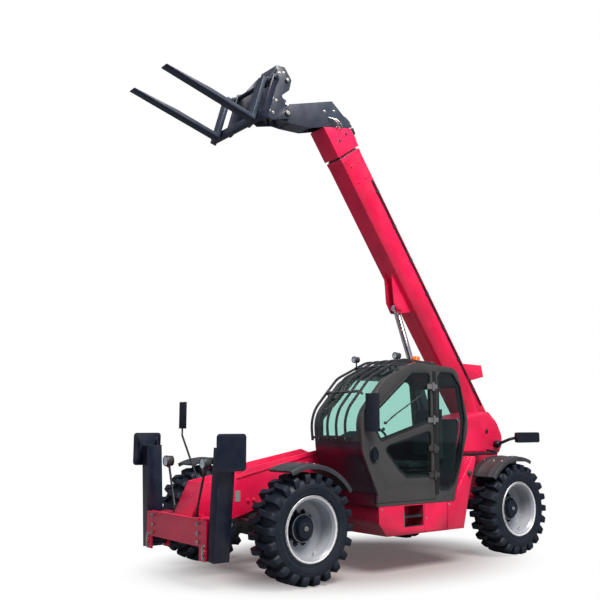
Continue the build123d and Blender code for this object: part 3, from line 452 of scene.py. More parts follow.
crimson = (0.86, 0.006, 0.072)
red_paint = paint("crimson_paint", "red_paint", crimson, 0.30, 0.08, wear_and_highlight=0.3, dust=0.05)
zinc = Finish("zinc_plated", "rod_chrome").principled((0.55, 0.54, 0.50), 0.38, metal=1.0)
zinc.patchy((0.36, 0.35, 0.33), (0.68, 0.67, 0.62), 30, 3, 0.4, 0.65).gloss(0.28, 0.5, 60)
finish_node("frame", red_paint, 0.004)
plate_y = 0.2                               # outer faces of the frame's plates, each side of the middle
pivot, lift_foot = pin_of("boom_lift"), pin_of("lift_swing")
bosses, heads, ribs = [], [], []
for side in hands.values():
    out = side * Y
    for (x, _, z), radius in ((pivot, 0.085), (lift_foot, 0.07)):
        bosses.append(turned([(0, radius * 0.55), (0, radius), (0.012, radius), (0.016, radius - 0.004),
                              (0.016, radius * 0.55)], (x, side * plate_y, z), out, 40, ring=True))
    heads += bolts([(lift_foot[0] + x, side * plate_y, lift_foot[2]) for x in (-0.11, 0.11)],
                   out, 0.03, 0.014, 0.003)
    for end, z in ((1, 0.83), (-1, 0.80)):
        heads += bolts([at(end * x, side * plate_y, z) for x in (1.60, 1.68, 1.82, 1.90)],
                       out, 0.034, 0.016, 0.004)
    # a rib welded along the plate's upper edge towards the nose
    ribs.append(swept([at(2.06, side * (plate_y + 0.004), 1.085), at(0.86, side * (plate_y + 0.004), 1.350)],
                      rect(-0.004, -0.009, 0.006, 0.009)))
add_piece("frame_pin_bosses", bosses, red_paint)
add_piece("frame_bolts", heads, red_paint)
add_piece("frame_edge_ribs", ribs, red_paint, width=0.002)

# ---- tyres ----
# Industrial lug tyres, 1.18 m across: a rubber carcass with a plain sidewall and slanting bars in two
# rows, half a pitch apart, that run from the middle of the tread over the shoulder.
lug_count = 22
lug_lean = 0.062            # how far a bar's inner end lies ahead of its shoulder end
rolling = (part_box("tyre_front_left")[1].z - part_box("tyre_front_left")[0].z) / 2
# lines of (outwards from the middle of the tread, radius as a share of the rolling radius)
carcass_line = [(0, .930), (.055, .926), (.105, .913), (.140, .893), (.166, .862), (.183, .822),
                (.189, .812), (.193, .790), (.1955, .745), (.194, .700), (.188, .655), (.181, .622),
                (.179, .600), (.174, .580), (.168, .572), (.160, .566), (.158, .530)]
crest_line = [(-.026, .9975), (.0, .999), (.045, .999), (.09, .997), (.135, .993), (.165, .985),
              (.185, .972), (.1965, .940), (.199, .885), (.196, .828)]
foot_line = [(-.026, .905), (.0, .912), (.045, .912), (.09, .905), (.128, .885), (.150, .862), (.164, .838),
             (.172, .815), (.178, .800), (.180, .795)]
lug_half = [.016, .028, .031, .032, .034, .037, .039, .039, .038, .036]


def lug_block(centre, out, row):
    """One row of bars. Each bar is a grid: down its length crest and foot follow their lines; six points go
    round its section; its angle is its pitch plus (lean + across) / rolling radius."""
    crest, foot = (np.array(line) * (1, rolling) for line in (crest_line, foot_line))
    half = np.array(lug_half)
    length = np.linspace(1, 0, len(half))
    lean = lug_lean * length ** 1.5 + 0.012 * np.sin(2 * pi * length)
    # shares of (height, half width) round a bar's section
    shares = ((0, 1.22), (.80, 1.04), (1, .86), (1, -.86), (.80, -1.04), (0, -1.22))
    line = np.stack([foot + (crest - foot) * height for height, _ in shares], axis=1)
    across = np.stack([half * width for _, width in shares], axis=1) + lean[:, None]
    angle = even(lug_count, row * pi / lug_count)[:, None, None] + across[None] / rolling
    axial = (1 if row == 0 else -1) * line[None, ..., 0] + 0 * angle
    radius = line[None, ..., 1]
    points = np.stack([centre[0] + radius * np.cos(angle), centre[1] + out * axial,
                       centre[2] + radius * np.sin(angle)], -1)
    n, m = line.shape[:2]
    faces = [[corner + k * n * m for corner in face] for k in range(lug_count) for face in capped(n, m)]
    return points.reshape(-1, 3), faces


rubber = Finish("tyre_rubber", "tyre_rubber").principled((0.006, 0.010, 0.019), 0.60, spec=0.30)
rubber.patchy((0.005, 0.010, 0.020), (0.022, 0.024, 0.030), 4, 6, 0.42, 0.70, 0.55)
rubber.gloss(0.50, 0.78, 14, 5, 0.35).grain(150, 4, 0.18, 0.002)
half_carcass = np.array(carcass_line) * (1, rolling)
carcass = np.concatenate([half_carcass[::-1], half_carcass[1:] * (-1, 1)])
for (end, hand), centre in hub.items():
    out = hands[hand]
    parts = [turned(carcass, centre, out * Y, 110, ring=True)]
    parts += [lug_block(centre, out, row) for row in (0, 1)]
    for share, reach in ((.735, .1953), (.640, .1855)):          # raised rings on the sidewall
        parts.append(turned(round_section(0.0035, 8) + (reach, share * rolling),
                            centre, out * Y, 110, ring=True))
    tyre = add_piece(f"tyre_tread_{end}_{hand}", parts, rubber, f"wheel_{end}_{hand}", turn=38)
    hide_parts(f"tyre_{end}_{hand}")

# ---- rims and hubs ----
# Deep-dished steel rims in light grey enamel, held by ten studs to a dark planetary hub whose
# cover carries a filler plug. The enamel is in two copies: a darker one on the dish as painted shade
# and a white lit one on the outer edge. The flange has a thin lock ring; the valve stands in the barrel.
# lit and shaded copies of one enamel: the dish is painted darker as painted shade, the outer edge white as
# its lit copy
rim_paint = paint("rim_grey_painted_shade", "rim_paint", (0.36, 0.38, 0.42), 0.34, 0.25, chip_and_highlight=(0.20, 0.19, 0.18),
                  dust=0.05)
rim_lit_copy = paint("rim_edge_lit_copy", "rim_paint", (0.86, 0.86, 0.87), 0.3, 0.3, dust=0.0, wear_and_highlight=0.2)
hub_paint = paint("hub_navy", "black_paint", (0.006, 0.012, 0.026), 0.45, 0.0, dust=0.05, spec=0.2)
dish_face = -0.050          # outwards from the middle of the tread
stud_circle, stud_count = 0.172, 10
valve_angle = -1.9
for (end, hand), centre in hub.items():
    finish_node(f"rim_{end}_{hand}", rim_paint, 0.002)
    body, out = f"wheel_{end}_{hand}", hands[hand] * Y
    parts = [turned([(dish_face - .001, 0), (dish_face - .001, .1545), (.010, .1540), (.024, .1500),
                     (.033, .136), (.033, .104), (.066, .102), (.080, .096), (.0825, .060), (.086, .056),
                     (.086, .030), (.083, .026), (.083, 0)], centre, out, 48)]
    studs = around(centre + dish_face * out, stud_circle, even(stud_count))
    parts += bolts(studs, out, 0.034, 0.022, 0.004)
    parts += [disc(place, out, 0, 0.042, 0.009, 0.001, 12) for place in studs]
    parts += bolts(around(centre + .030 * out, .117, even(12, 0.2)), out, .018, .011)
    add_piece(f"hub_cover_{end}_{hand}", parts, hub_paint, body)
    add_piece(f"hub_plug_{end}_{hand}", bolts([centre + 0.083 * out], out, 0.030, 0.014, 0.004), zinc, body)
    edge = turned([(.1795, .3485), (.1830, .3505), (.1860, .3470), (.1862, .3400), (.1835, .3280),
                   (.1745, .3190), (.1700, .3155), (.1690, .3185)], centre, out, 90, ring=True)
    add_piece(f"rim_edge_{end}_{hand}", [edge], rim_lit_copy, body)
    lock = turned(round_section(0.004, 10) + (0.1865, 0.3435), centre, out, 90, ring=True)
    foot, tip = (around(centre + reach * out, radius, [valve_angle])[0]
                 for reach, radius in ((.07, .285), (.115, .255)))
    valve = swept(np.linspace(foot, tip, 4), round_section(0.006, 10), X)
    add_piece(f"rim_ring_{end}_{hand}", [lock, valve], zinc, body)

# ---- axles and knuckles ----
# Cast and welded portal beams in satin black with a round differential housing and bolted covers;
# each knuckle swings on a kingpin under a bolted cap.
chassis_black = paint("chassis_black", "black_paint", (0.008, 0.010, 0.016), 0.42, 0.1, dust=0.15)
for end, forward in (("front", 1), ("rear", -1)):
    finish_node(f"axle_{end}", chassis_black, 0.004)
    back = -forward * X
    face = hub[end, "left"] * (1, 0, 1) + 0.10 * back
    parts = [turned([(0, 0), (0, .165), (.012, .165), (.014, .16), (.014, 0)], face, back, 44),
             turned([(.01, 0), (.01, .07), (.08, .06), (.10, .05), (.10, 0)], face, back, 32)]
    add_piece(f"axle_{end}_flange", parts, chassis_black)
    heads = bolts(around(face + .014 * back, 0.150, even(14), Y, Z), back, .022, .011)
    add_piece(f"axle_{end}_bolts", heads, zinc)
    for hand in hands:
        finish_node(f"knuckle_{end}_{hand}", chassis_black, 0.003)
        top = pin_of(f"steer_{end}_{hand}") * (1, 1, 0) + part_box(f"knuckle_{end}_{hand}")[1].z * Z
        cap = turned([(0, 0), (0, .052), (.012, .052), (.018, .046), (.018, .012), (.030, .010), (.030, 0)],
                     top + 0.0005 * Z, Z, 28)
        heads = bolts(around(top + .018 * Z, .038, even(4, pi / 4), X, Y), Z, .014, .007)
        add_piece(f"kingpin_cap_{end}_{hand}", [cap] + heads, chassis_black, f"knuckle_{end}_{hand}")

# ---- fenders ----
# Moulded black polyethylene shells over welded stays. The outer edge rolls down into a lip and two
# ribs run round the crown; the sheet is a grid: its angle round the axle by its place across.
poly = Finish("moulded_black", "black_plastic").principled((0.030, 0.031, 0.035), 0.50, spec=0.4)
poly.patchy((0.026, 0.028, 0.033), (0.060, 0.058, 0.058), 3, 5, 0.4, 0.7, 0.7)
poly.gloss(0.38, 0.58, 8, 4).grain(520, 2, 0.12)
fender_arc = {"front": (64.4, 145.6), "rear": (39.4, 113.6)}    # degrees round from straight ahead
under, crown = 0.659, 0.679       # just under and over the carried sheet
w = 0.203                         # half the sheet's width
fender_section = np.array([
    (-w, under - .004), (-w, crown + .002), (-w + .004, crown + .004), (-.118, crown + .001),
    (-.106, crown + .008), (-.086, crown + .008), (-.074, crown + .001), (.074, crown + .001),
    (.086, crown + .008), (.106, crown + .008), (.118, crown + .001), (w - .030, crown),
    (w - .006, crown - .003), (w, crown - .010), (w + .001, under - .034), (w - .005, under - .034),
    (w - .010, under - .010), (w - .020, under)])
for (end, hand), centre in hub.items():
    out, body = hands[hand], f"knuckle_{end}_{hand}"
    finish_node(f"fender_{end}_{hand}", chassis_black, 0.002)
    t = np.radians(np.linspace(*fender_arc[end], 40))[:, None]
    across, radius = fender_section.T
    points = np.stack(np.broadcast_arrays(centre[0] + np.cos(t) * radius, centre[1] + out * across,
                                          centre[2] + np.sin(t) * radius), -1)
    add_piece(f"fender_shell_{end}_{hand}", [(points.reshape(-1, 3), capped(len(t), len(across)))],
              poly, body, 0.0012, 1, 40)
    parts = []
    for a in np.radians(sum(fender_arc[end]) / 2 + np.array((-9, 9))):
        radial = cos(a) * X + sin(a) * Z
        parts += bolts([centre * (1, 0, 1) + crown * radial + (centre[1] + out * y) * Y
                        for y in (-.15, 0, .13)], radial, .016, .007, .002)
    add_piece(f"fender_bolts_{end}_{hand}", parts, zinc, body)

# ---- stabilisers ----
# A welded crimson box beam across the nose carries two folded legs in navy enamel. Each leg swings on
# a greased pin with zinc keeper plates; its ground pad is a plate on two ears and a cross pin.
navy_paint = paint("navy_enamel", "black_paint", (0.004, 0.009, 0.026), 0.32, 0.2, dust=0.05, spec=0.3)
finish_node("stabiliser_beam", red_paint, 0.005)
beam_low, beam_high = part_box("stabiliser_beam")
for hand, side in hands.items():
    finish_node(f"stabiliser_leg_{hand}", navy_paint, 0.007, 3)
    finish_node(f"stabiliser_pad_{hand}", navy_paint, 0.004)
    pin = pin_of(f"stabiliser_{hand}")
    keepers = []
    for face, ahead in ((beam_high.x, 1), (beam_low.x, -1)):
        outer = face + ahead * .004
        for x, dz, size in ((face - ahead * 0.013, 0.062, (0.030, 0.014, 0.004)),
                            (outer, 0.034, (0.018, 0.009))):
            keepers += bolts([(x, pin[1], pin[2] + z) for z in (dz, -dz)], ahead * X, *size)
        keepers.append(brick((min(face, outer), pin[1] - .020, pin[2] - .052),
                             (max(face, outer), pin[1] + .020, pin[2] + .052)))
    add_piece(f"stabiliser_keepers_{hand}", keepers, zinc, width=0.0008)
    pad_pin = pin_of(f"stabiliser_pad_{hand}")
    pad_low, pad_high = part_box(f"stabiliser_pad_{hand}")
    rib_y = pad_high.y - .028 if side > 0 else pad_low.y + .028
    foot = [(pad_pin[2] - .150, rib_y), (pad_pin[2] + .150, rib_y), (pad_pin[2] + .060, rib_y - side * .032),
            (pad_pin[2] - .060, rib_y - side * .032)]
    ribs = [disc(pad_pin + dx * X, X, -.004, .004, .026) for dx in (-.0615, .0615)]
    ribs += [prism(foot, pad_pin[0] + dx - .006, pad_pin[0] + dx + .006, X, first=Z, second=Y)
             for dx in (-.115, .115)]
    add_piece(f"pad_ribs_{hand}", ribs, navy_paint, f"stabiliser_pad_{hand}", 0.0015)
    # a pipe down the inner side of the leg, from its ram to the pad's pin
    lean = unit((pad_pin - pin) * (0, 1, 1))
    run = [pin - .101 * X + down * lean - side * inwards * Y
           for down, inwards in ((.12, -.02), (.17, .012), (.5, .012), (.85, .012), (.90, -.02))]
    add_piece(f"leg_pipe_{hand}", [pipe(run, .007, 30, 8, X)], chassis_black, f"stabiliser_leg_{hand}")
# a folded lip along the beam's upper front edge
lip = swept([(beam_high.x - .016, y, beam_high.z - .002) for y in (-.52, .52)],
            [(-.016, -.004), (.018, -.004), (.018, .012), (.012, .016), (-.016, .016)])
add_piece("beam_lip", [lip], red_paint, width=0.003)
heads = bolts([(beam_high.x + .001, y, z) for y in (-.505, .505) for z in (.47, .56, .66)],
              X, .026, .012, .003)
add_piece("beam_bolts", heads, zinc)

# ---- boom ----
# Three nested box sections of folded high-strength steel, crimson with the middle one in dark grey.
# Wear-pad screws ring each mouth, and two steel pipes run clipped along the left flank.
reach = np.array(Vector(joint["boom_extend"]["axis"]).normalized())
rise = np.array((-reach[2], 0, reach[0]))
boom_start = pivot * (1, 0, 1)
boom_half, boom_deep = 0.145, 0.200         # half the outer section's width and height
steel_grey = paint("boom_grey", "grey_paint", (0.024, 0.031, 0.050), 0.34, 0.2, wear_and_highlight=0.3, dust=0.0)


def on_boom(along, across, above):
    """Places given along the boom, across to the left and above its centre line, as an array of points."""
    along, across, above = np.broadcast_arrays(*(np.asarray(v, float) for v in (along, across, above)))
    return boom_start + along[..., None] * reach + across[..., None] * Y + above[..., None] * rise


def boom_prism(outline, low, high):
    """A prism across the boom: its outline is (along, above)."""
    return prism(outline, low, high, Y, boom_start, reach, rise)


finish_node("boom_outer", red_paint, 0.006, 3)
finish_node("boom_middle", steel_grey, 0.005, 3)
finish_node("boom_inner", red_paint, 0.006, 3)
screws = []
for side in (-1, 1):
    screws += bolts([on_boom(station, side * boom_half, above)
                     for station in (4.10, 4.34) for above in (-.075, .075)],
                    side * Y, .026, .010, .003)
    screws += bolts([on_boom(station, y, side * boom_deep) for y in (-.07, .07) for station in (4.12, 4.36)],
                    side * rise, .026, .010, .003)
add_piece("boom_pad_screws", screws, red_paint, "boom")
# each mouth's collar is four rings of corners: outside and inside, at both of its ends
collar, inner = (np.array(rect(-y, -above, y, above)).T for y, above in ((.148, .203), (.1455, .2005)))
mouths = [(np.concatenate([on_boom(station, *line) for line, station in (
    (collar, low), (collar, high), (inner, high), (inner, low))]), grid_faces(4, 4, True, True))
    for low, high in ((4.44, 4.498), (-.255, -.215))]
add_piece("boom_mouth_collars", mouths, red_paint, "boom", 0.002)
pipes = [pipe([on_boom(station, across, above) for station, across in (
    (.28, .140), (.40, .1535), (1.5, .1535), (2.8, .1535), (3.9, .1535), (4.03, .140))], .0065, 40, 10, rise)
    for above in (.150, .172)]
add_piece("boom_pipes", pipes, chassis_black, "boom")
clips = [boom_prism(rect(station - .02, .136, station + .02, .186), .1455, .1625)
         for station in np.arange(.55, 3.9, .55)]
add_piece("boom_pipe_clips", clips, poly, "boom", 0.0015)
caps = []
for side in (-1, 1):
    caps.append(turned([(0, 0), (0, .046), (.004, .049), (.010, .049), (.013, .045), (.013, 0)],
                       boom_start + side * .221 * Y, side * Y, 36))
    caps += bolts([boom_start + side * .234 * Y], side * Y, .030, .012, .003)
add_piece("boom_pivot_caps", caps, zinc)

# ---- boom head ----
# Two thick cheek plates in dark grey bend down from the boom's mouth to the carriage pin, closed by
# folded covers. The tilting and lifting rams' rods are hard chromed; pipe ends and screws are bolted on.
chrome = Finish("rod_chrome").principled((0.82, 0.83, 0.85), 0.10, metal=1.0)
chrome.gloss(0.06, 0.16, 40, 4, high=0.75, stretch=(1, 1, 6))
finish_node("boom_nose", steel_grey, 0.005, 3)
finish_node("tilt_barrel", chassis_black, 0.003)
finish_node("tilt_rod", chrome, 0.001)
finish_node("lift_barrel", chassis_black, 0.004)
finish_node("lift_rod", chrome, 0.002)
heads, screws = [], []
for side in (-1, 1):
    heads += bolts([on_boom(a, side * .130, n) for a, n in ((4.66, .15), (4.74, -.15), (4.70, 0))],
                   side * Y, .028, .012, .003)
    heads += bolts([on_boom(a, side * .130, n) for a, n in ((5.10, .10), (5.16, -.06))],
                   side * Y, .024, .010, .003)
    screws += bolts([on_boom(a, side * .150, n) for a, n in ((4.753, .097), (4.722, -.069))],
                    side * Y, .026, .008, .002)
add_piece("nose_bolts", heads, zinc, "boom_inner")
fittings = []
for along, above in ((4.86, .045), (4.89, -.005)):
    base = on_boom(along, .130, above)
    fittings.append(disc(base, Y, 0, .030, .017, .002, 20))
    fittings += bolts([base + .030 * Y], Y, .026, .016)
    run = [on_boom(along + a, .130 + out, above + n) for a, out, n in (
        (0, .036, 0), (0, .060, 0), (.05, .070, 0), (.12, .055, -.02), (.17, .012, -.05))]
    fittings.append(pipe(run, .0085, 24, 10, rise))
add_piece("nose_pipe_fittings", fittings, zinc, "boom_inner")
add_piece("head_screws", screws, chassis_black, "boom_inner")
# two short pipes bridge the head's upper edge, from a clamp block down to the nose
clamp = boom_prism([(4.680, .2195), (4.775, .2195), (4.775, .300), (4.690, .290)], .030, .128)
add_piece("head_clamp", [clamp], chassis_black, "boom_inner", .004)
bridge = []
for across in (.055, .100):
    run = [on_boom(a, across, n) for a, n in (
        (4.560, .226), (4.610, .268), (4.735, .275), (4.800, .292), (4.870, .300), (4.960, .262))]
    bridge.append(pipe(run, .011, 26, 12, Y))
    bridge.append(disc(on_boom(4.560, across, .226), reach, -.006, .030, .016, .002, 20))
add_piece("head_pipes", bridge, zinc, "boom_inner")

# ---- carriage and forks ----
# The coupler's two plates hang on the carriage pin and lock the fork frame with a hook and a wedge.
# The frame is flame-cut plate round a greased shaft; the forged forks ride on it and taper to their tips.
fork_tilt = radians(16.2)
ahead = np.array((cos(fork_tilt), 0, sin(fork_tilt)))
above_forks = np.array((-sin(fork_tilt), 0, cos(fork_tilt)))
tilt_pin = pin_of("carriage_tilt")


def on_forks(forward, across, up):
    """A place given forwards along the blades, across to the left and up, from the carriage pin."""
    return tilt_pin + forward * ahead + across * Y + up * above_forks


finish_node("coupler", steel_grey, 0.005, 3)
finish_node("fork_frame", navy_paint, 0.005, 3)
fork_paint = paint("fork_enamel", "black_paint", (0.010, 0.020, 0.042), 0.38, 0.15, chip_and_highlight=(0.16, 0.16, 0.16),
                   wear_and_highlight=0.3, dust=0.0, spec=0.3)
for hand in hands:
    finish_node(f"fork_{hand}", fork_paint, 0.006, 3)
keepers, collars = [], []
for side in (-1, 1):
    out = side * Y
    for forward, up, radius in ((0, 0, .030), (.132, .425, .024)):
        face = on_forks(forward, side * .190, up)
        keepers.append(turned([(0, 0), (0, radius), (.008, radius), (.012, radius * .85), (.012, 0)],
                              face, out, 28))
        keepers += bolts([face + .012 * out], out, .022, .010)
    keepers += bolts([on_forks(forward, side * .170, up) for forward, up in (
        (.20, .08), (.26, .08), (.20, -.10), (.26, -.10), (.20, .50), (.26, .46))], out, .024, .010, .003)
    for across in (.314, .486):                 # each side of a fork's eye
        collars.append(turned([(-.014, .0285), (-.014, .046), (.014, .046), (.014, .0285)],
                              on_forks(.520, side * across, .060), out, 32, ring=True))
        collars += bolts([on_forks(.476, side * across, .060)], -ahead, .014, .008)
    collars += bolts([on_forks(.520, side * .575, up) for up in (-.43, -.47)], out, .020, .009, .002)
add_piece("coupler_keepers", keepers, zinc, "carriage")
add_piece("fork_shaft_collars", collars, steel_grey, "carriage")

# ---- cab shell ----
# A folded and welded steel cab in charcoal enamel: pillars, roof and floor as one hollow shell, its
# lower front panel darkened to dark maroon as painted shade. Rubber seals run round each window, and
# each pane has a black printed border on its inner side, between the window's edge and the clear part.
charcoal = (0.046, 0.044, 0.043)
cab_paint = Finish("charcoal_enamel", "grey_paint").principled(charcoal, 0.36, coat=0.35)
# painted shade: the cab's lower front is darkened to a dark maroon
painted_shade_front = cab_paint.maths("MULTIPLY", cab_paint.span(cab_paint.part("Y"), 1.128, 1.122),
                              cab_paint.span(cab_paint.part("Z"), 1.500, 1.494))
tone = cab_paint.blend(cab_paint.span(cab_paint.noise(1.7), 0.35, 0.65), tuple(0.82 * c for c in charcoal),
                       charcoal)
cab_paint.put(cab_paint.inputs["Base Color"], cab_paint.blend(painted_shade_front, tone, (0.020, 0.006, 0.016)))
cab_paint.gloss(0.30, 0.42, 6, 4).grain(320, 2, 0.05)
finish_node("cab_shell", cab_paint, 0.006, 3)
finish_node("door_frame", cab_paint, 0.006, 3)


def tinted_glass(name, tint):
    """Safety glass: mostly clear, with a mirror-like share that grows at grazing angles. The share is
    on front faces only; the inner faces only let light through."""
    made = Finish(name, "window_glass")
    clear = made.add("BsdfTransparent", 0, {"Color": tint})
    mirror = made.add("BsdfGlossy", 0, {"Roughness": 0.03, "Color": (0.90, 0.97, 0.95)})
    front_face = made.maths("GREATER_THAN", 0.5, made.add("NewGeometry", "Backfacing"))
    share = made.maths("MULTIPLY", made.add("Fresnel", 0, {"IOR": 1.5}), front_face)
    made.end("Material", made.add("MixShader", 0, {0: share, 1: clear, 2: mirror}))
    return made


glass = tinted_glass("window_glass", (0.765, 0.905, 0.872))
finish_node("cab_glass", glass)
finish_node("door_glass", glass)
seal_rubber = Finish("seal_rubber", "black_plastic").principled((0.010, 0.010, 0.011), 0.55, spec=0.4)
seal_rubber.gloss(0.45, 0.65, 90, 3)
printed = Finish("printed_border", "black_plastic").principled((0.006, 0.008, 0.010), 0.5)
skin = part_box("door_frame")[0].y + 0.045    # outer face of the cab's left side
windows = {     # outline of (x from the middle of the wheelbase, z), corner radius, border's width and body
    "door_upper": ([(.185, 2.304), (-.140, 2.318), (-.140, 1.731), (.701, 1.499), (.838, 1.727),
                    (.740, 1.876)], .055, .030, "door"),
    "door_lower": ([(.670, 1.430), (-.140, 1.622), (-.125, 1.073), (.290, 1.076), (.403, 1.149)],
                   .055, .030, "door"),
    "quarter": ([(-.285, 2.340), (-.560, 2.330), (-.700, 2.160), (-.770, 1.750), (-.680, 1.260),
                 (-.540, .975), (-.430, .900), (-.250, .900)], .07, .042, "chassis"),
}
bead = [(-.006, -.010), (.006, -.010), (.009, -.004), (.009, .001), (.004, .0035), (-.007, .0035),
        (-.010, .001), (-.010, -.004)]


def on_side(line, depth):
    """A line of (x, z) as points that deep inside the cab's left face."""
    return np.stack([line[:, 0], np.full(len(line), skin - depth), line[:, 1]], -1)


for label, (outline, radius, _, body) in windows.items():
    line = rounded(np.array(outline) + (mid_x, 0), radius, 7)
    add_piece(f"seal_{label}", [swept(on_side(line, 0), bead, Y, closed=True)], seal_rubber, body)
for label, (outline, radius, wide, body) in windows.items():
    line = rounded(np.array(outline) + (mid_x, 0), radius, 7)
    ahead_x, ahead_z = unit(np.roll(line, -1, 0) - np.roll(line, 1, 0)).T
    winding = np.sign((line[:, 0] * np.roll(line[:, 1], -1) - np.roll(line[:, 0], -1) * line[:, 1]).sum())
    inwards = winding * np.stack([-ahead_z, ahead_x], -1)
    rings = [on_side(line + inset * inwards, depth) for inset, depth in (
        (.002, .0166), (.002, .0176), (wide, .0176), (wide, .0166))]
    add_piece(f"border_{label}", [(np.concatenate(rings), grid_faces(4, len(line), True, True))],
              printed, body)

# ---- door and cab fittings ----
# Zinc-cast hinges, a dished oval latch, a wiper across the door's upper pane, a round window catch and
# a bright sill strip. They sit a few millimetres proud of the enamelled skin.
mirror_glass = Finish("mirror_glass", "rod_chrome").principled((0.72, 0.75, 0.78), 0.04, metal=1.0)
mirror_glass.gloss(0.02, 0.06, 25, low=0.4)
mirror_black = Finish("mirror_black", "black_paint").principled((0.006, 0.009, 0.016), 0.42, spec=0.3)
mirror_black.gloss(0.36, 0.50, 10, 3)
hinge_grey = paint("hinge_grey", "grey_paint", (0.17, 0.17, 0.175), 0.4, 0.2, dust=0.0)
hinge_x, hinge_y = pin_of("cab_door")[:2]
for k, (z, tone) in enumerate(((2.15, hinge_grey), (1.743, hinge_grey), (1.40, cab_paint),
                               (1.083, cab_paint))):
    for body, start, stop, near, far in (("door", .0005, .052, .018, .098),
                                         ("chassis", -.053, -.0015, -.076, -.018)):
        parts = [disc((hinge_x, hinge_y, 0), Z, z + start, z + stop, .0165, .002, 24),
                 prism(soft_rect(near, -.030, far, .030, .009) + (hinge_x, z), skin + .001, skin + .0105)]
        parts += bolts([(hinge_x + (near + far) / 2 + dx, skin + .010, z + dz)
                        for dx in (-.016, .018) for dz in (-.016, .016)],
                       Y, .011, .005)
        parts.append(level([(0, -.012), (near, -.004), (near, .004), (0, .012)], z - .022, z + .022,
                           (hinge_x, hinge_y - .004, 0)))
        add_piece(f"hinge_{body}_{k + 1}", parts, tone, body)

latch = at(.814, skin, 1.342)
t = even(40)
# ovals one inside the other: (share of the size, how far it stands out)
dish_rings = ((1.06, -.001), (1.06, .005), (1.02, .008), (.96, .008), (.93, .004), (.90, .0015))
dish = [np.stack([latch[0] + share * .066 * np.cos(t), np.full(40, skin + proud),
                  latch[2] + share * .090 * np.sin(t)], -1)
        for share, proud in dish_rings]
add_piece("door_latch_dish", [(np.concatenate(dish), capped(len(dish_rings), 40))],
          mirror_black, "door", turn=30)
parts = [prism(soft_rect(-.030, -.052, .030, .052, .018) + latch[[0, 2]], skin + .004, skin + .016),
         disc(latch - .066 * Z, Y, .002, .012, .010, .001, 20)]
add_piece("door_latch_paddle", parts, mirror_black, "door", .002)

wiper_foot, wiper_tip = at(.614, skin + .012, 1.727), at(.001, skin + .004, 2.055)
blade_start = wiper_foot + .12 * (wiper_tip - wiper_foot)
arm_end = (blade_start + wiper_tip) / 2 + (0, .014, .004)
blade = [(-.006, .012), (.006, .012), (.006, .004), (.0015, -.002), (.0015, -.009), (-.0015, -.009),
         (-.0015, -.002), (-.006, .004)]
parts = [swept([blade_start - .011 * Y, wiper_tip - .006 * Y], blade, Y),
         swept(smooth_line([wiper_foot + (.02, .006, -.02), (wiper_foot + arm_end) / 2 + (0, .012, .01),
                            arm_end], 12),
               rect(-.007, -.003, .007, .003), Y),
         disc(wiper_foot + (.02, -.020, -.02), Y, 0, .034, .017, .003, 24)]
add_piece("door_wiper", parts, poly, "door")

catch = at(-.640, skin - .010, 1.746)
add_piece("window_catch", [turned([(0, .012), (0, .030), (.010, .030), (.014, .027), (.014, .020),
                                   (.010, .016), (.006, .012)], catch, Y, 36, ring=True)], poly)
add_piece("window_catch_button", [disc(catch, Y, .001, .011, .013, .002, 24)], hinge_grey)
add_piece("sill_strip", [brick(at(-.522, skin + .0005, .764), at(.766, skin + .0045, .792))],
          cab_paint, width=.0012)
# a rubber strip covers the pillar behind the door's edge, from the sill to the roof
add_piece("pillar_strip", [brick(at(-.249, skin - .001, .850), at(-.190, skin + .0008, 2.345))], seal_rubber)

# ---- guard, lamps and beacon ----
# A welded guard of flat bars over the screen and roof, bolted to its bands; round work lamps with
# bright reflectors behind clear lenses; an amber beacon with a ribbed lens on a black foot.
guard_black = paint("guard_black", "black_paint", (0.020, 0.022, 0.026), 0.38, 0.3, dust=0.0)
finish_node("cab_guard", guard_black, 0.0015)
cab_line = rounded([(.775, .760), (.762, .905), (.985, 1.370), (1.022, 1.790), (.620, 2.215), (.120, 2.440),
                    (-.640, 2.400), (-.845, 1.700), (-.560, .900), (-.525, .760)],
                   np.array([5, 60, 300, 350, 250, 300, 180, 500, 250, 5]) / 1000, 24)
band_centre = np.array((.2, 1.5))       # the bands stand where rays from here meet the cab's outline
heads = []
for angle in np.radians([2.5, 43, 82, 124]):
    ray = np.array((cos(angle), sin(angle)))
    start, stop = cab_line - band_centre, np.roll(cab_line, -1, 0) - band_centre
    edge = stop - start
    over = edge[:, 0] * ray[1] - edge[:, 1] * ray[0]
    with np.errstate(divide="ignore", invalid="ignore"):
        far = (start[:, 1] * edge[:, 0] - start[:, 0] * edge[:, 1]) / over
        share = (start[:, 1] * ray[0] - start[:, 0] * ray[1]) / over
    k = int(np.flatnonzero((far > 0) & (share >= 0) & (share < 1))[0])
    outwards = unit((edge[k, 1], -edge[k, 0]))
    spot = band_centre + ray * far[k] + outwards * .0662
    heads += bolts([at(spot[0], y, spot[1]) for y in (.317, .462, .612, .772, .932)],
                   (outwards[0], 0, outwards[1]), .012, .006)
add_piece("guard_bolts", heads, zinc)

reflector = Finish("lamp_reflector", "rod_chrome").principled((0.93, 0.94, 0.95), 0.20, metal=0.40)
reflector.gloss(0.05, 0.25, 120, 2)
lens_glass = tinted_glass("lens_glass", (0.96, 0.98, 0.98))
finish_node("cab_lamps", poly, 0.004)
finish_node("front_lamps", chassis_black, 0.003)


